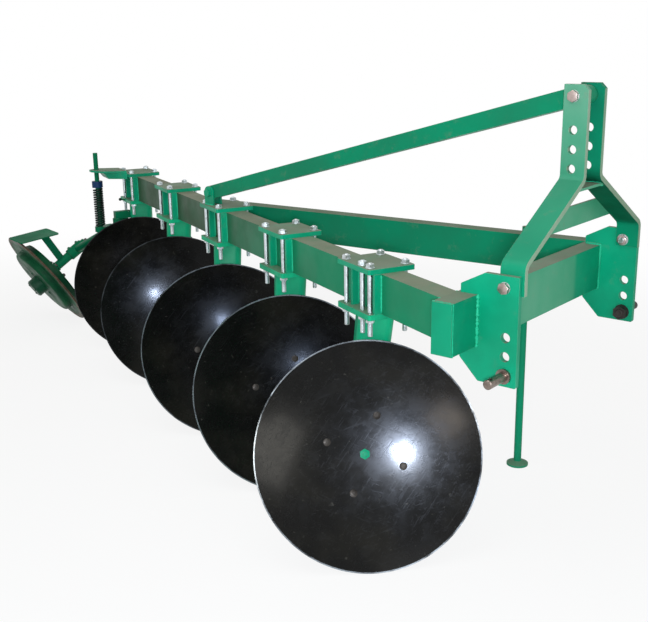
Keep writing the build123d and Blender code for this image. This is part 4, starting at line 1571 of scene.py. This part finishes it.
@dataclass
class Studio:
    """Pale floor, soft light and the camera at the photograph's viewpoint, with angles in radians."""

    layout: Layout
    place: tuple[float, float, float] = (1182.29, -2678.65, 1565.13)
    yaw: float = 2.2575098733
    pitch: float = -0.2755202571
    roll: float = -0.0155670219
    lens: float = 53.848
    sensor: float = 36
    world_light: float = 0.36
    floor_half: float = 60
    front_lamp: Lamp = Lamp((1250, -2700, 1450), 260, 64, "#eaf2ff")
    front_aim: tuple[float, float, float] = (-1100, 0, 500)
    softbox: Lamp = Lamp((-800, -1400, 3600), 2600, 32, "#ffffff")
    softbox_aim: tuple[float, float, float] = (-1400, 0, 300)
    # Lamps that only glance off one blade, given by its number from 0, as the flash does in the photograph.
    glints: tuple[tuple[int, Lamp], ...] = (
        (0, Lamp((1491, -2940, 1357), 340, 400, "#d4e3ff")),
        (1, Lamp((1230, -2568, 826), 300, 42, "#c6daff")),
        (2, Lamp((990, -2180, 780), 300, 52, "#c6daff")),
        (3, Lamp((555, -1351, 1154), 230, 125, "#cfe0ff")),
        (0, Lamp((3300, 30, 650), 1700, 74, "#f4f1e8")),
        (0, Lamp((760, -3990, 560), 900, 36, "#fff2e6")),
    )

    def camera(self) -> None:
        """Set the camera."""
        level = math.cos(self.pitch)
        look = Vector((math.cos(self.yaw) * level, math.sin(self.yaw) * level, math.sin(self.pitch)))
        right = look.cross(Vector((0, 0, 1))).normalized()
        up = right.cross(look)
        turned_right = right * math.cos(self.roll) + up * math.sin(self.roll)
        turned_up = up * math.cos(self.roll) - right * math.sin(self.roll)
        turn = Matrix((turned_right, turned_up, -look)).transposed().to_4x4()
        data = bpy.data.cameras.new("photo_camera")
        data.lens = self.lens
        data.sensor_width = self.sensor
        data.sensor_fit = "HORIZONTAL"
        data.clip_end = 200
        eye = put("photo_camera", data, shifted(self.layout.hitch, *self.place) @ turn)
        bpy.context.scene.camera = eye

    def world(self) -> None:
        """White surroundings that light softly and show white behind the plough and in its gloss."""
        world = bpy.data.worlds.new("studio_world")
        bpy.context.scene.world = world
        world.use_nodes = True
        tree = world.node_tree
        tree.nodes.clear()
        seen: Any = 0.0
        for ray in ("Is Camera Ray", "Is Glossy Ray", "Is Transmission Ray"):
            seen = add_node(tree, "Math", seen, add_node(tree, "LightPath", output=ray), operation="MAXIMUM")
        level = add_node(tree, "MapRange", seen, 0, 1, self.world_light, 1)
        add_node(tree, "OutputWorld", add_node(tree, "Background", WHITE, level))

    def area(self, name: str, lamp: Lamp, aim: Point) -> bpy.types.Object:
        """Add an area lamp.

        Args:
            name: Name of the lamp.
            lamp: Its place, size and light.
            aim: Point that it looks at.

        Returns:
            The lamp's object.
        """
        data = bpy.data.lights.new(name, "AREA")
        data.size = lamp.size * MM
        data.energy = lamp.watts
        data.color = linear(lamp.colour)[:3]
        return put(name, data, aimed(self.layout.hitch, lamp.place, Vector(lamp.place) - Vector(aim)))

    def glint(self, index: int, lamp: Lamp) -> None:
        """Add a lamp that only glances off one blade.

        Args:
            index: Number of the blade, from 0.
            lamp: Its place, size and light.
        """
        middle = (self.layout.hitch.inverted() @ self.layout.dish(index).translation) / MM
        glint = self.area(f"glint_{index + 1}", lamp, middle)
        glint.visible_diffuse = False
        blades = bpy.data.collections.new(f"glint_{index + 1}_blade")
        blades.objects.link(bpy.data.objects[f"disc_{index + 1}_blade"])
        glint.light_linking.receiver_collection = blades
        glint.light_linking.blocker_collection = blades

    def sun(self, name: str, azimuth: float, elevation: float, angle: float, strength: float) -> None:
        """Add a soft distant light.

        Args:
            name: Name of the light.
            azimuth: Azimuth that it comes from, in degrees.
            elevation: Elevation that it comes from.
            angle: Angle that it fills.
            strength: Light on a facing surface.
        """
        data = bpy.data.lights.new(name, "SUN")
        data.angle = math.radians(angle)
        data.energy = strength
        put(name, data, aimed(self.layout.hitch, (0, 0, 3000), direction(azimuth, elevation)))

    def floor(self) -> None:
        """Lay a pale floor that fades to white far from the plough."""
        half = self.floor_half
        corners = [(-half, -half, 0), (half, -half, 0), (half, half, 0), (-half, half, 0)]
        mesh = bpy.data.meshes.new("studio_floor")
        mesh.from_pydata(corners, [], [(0, 1, 2, 3)])
        floor = put("studio_floor", mesh)
        s = Surface("pale_studio_floor", "#ececea")
        s.lay(s.patches(900, 0.3, 0.7, 0.985, 1, detail=3), "#f4f4f2")
        paper = s.add("BsdfDiffuse", s.colour)
        length = s.add("VectorMath", s.origin, operation="LENGTH")
        far = s.add("MapRange", length, 1.8, 4.6, 0.85, 1, interpolation_type="SMOOTHSTEP")
        rays = [s.add("LightPath", output=name) for name in ("Is Camera Ray", "Is Glossy Ray")]
        seen = s.add("Math", *rays, operation="MAXIMUM")
        share = s.add("Math", far, seen, operation="MULTIPLY")
        s.add("OutputMaterial", s.add("MixShader", share, paper, s.add("Emission", WHITE, 1.0)))
        mesh.materials.append(s.material)

    def build(self) -> None:
        """Set up the studio."""
        self.camera()
        self.world()
        self.area("camera_side_lamp", self.front_lamp, self.front_aim)
        self.area("overhead_softbox", self.softbox, self.softbox_aim)
        self.sun("frontal_fill", -50, 22, 30, 0.45)
        for index, lamp in self.glints:
            self.glint(index, lamp)
        self.floor()
        bpy.context.scene.view_settings.view_transform = "Standard"


def clear_scene() -> None:
    """Empty Blender's default scene."""
    for item in list(bpy.data.objects):
        bpy.data.objects.remove(item)


def main() -> None:
    """Build the dressed plough and its studio."""
    logging.basicConfig(level=logging.INFO, format="%(name)s: %(message)s")
    clear_scene()
    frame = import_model()
    layout = Layout.from_frame()
    paints = Paintshop(layout)
    paints.coat(frame["nodes"])
    for assembly in (
        DiscGang, ClampHardware, BearingTrim, MastHardware, Weldwork, FurrowWheel, SpringGear, GearTrim,
    ):
        log.info("building %s", assembly.__name__)
        assembly(layout, paints).build()
    Studio(layout).build()


if __name__ == "__main__":
    main()
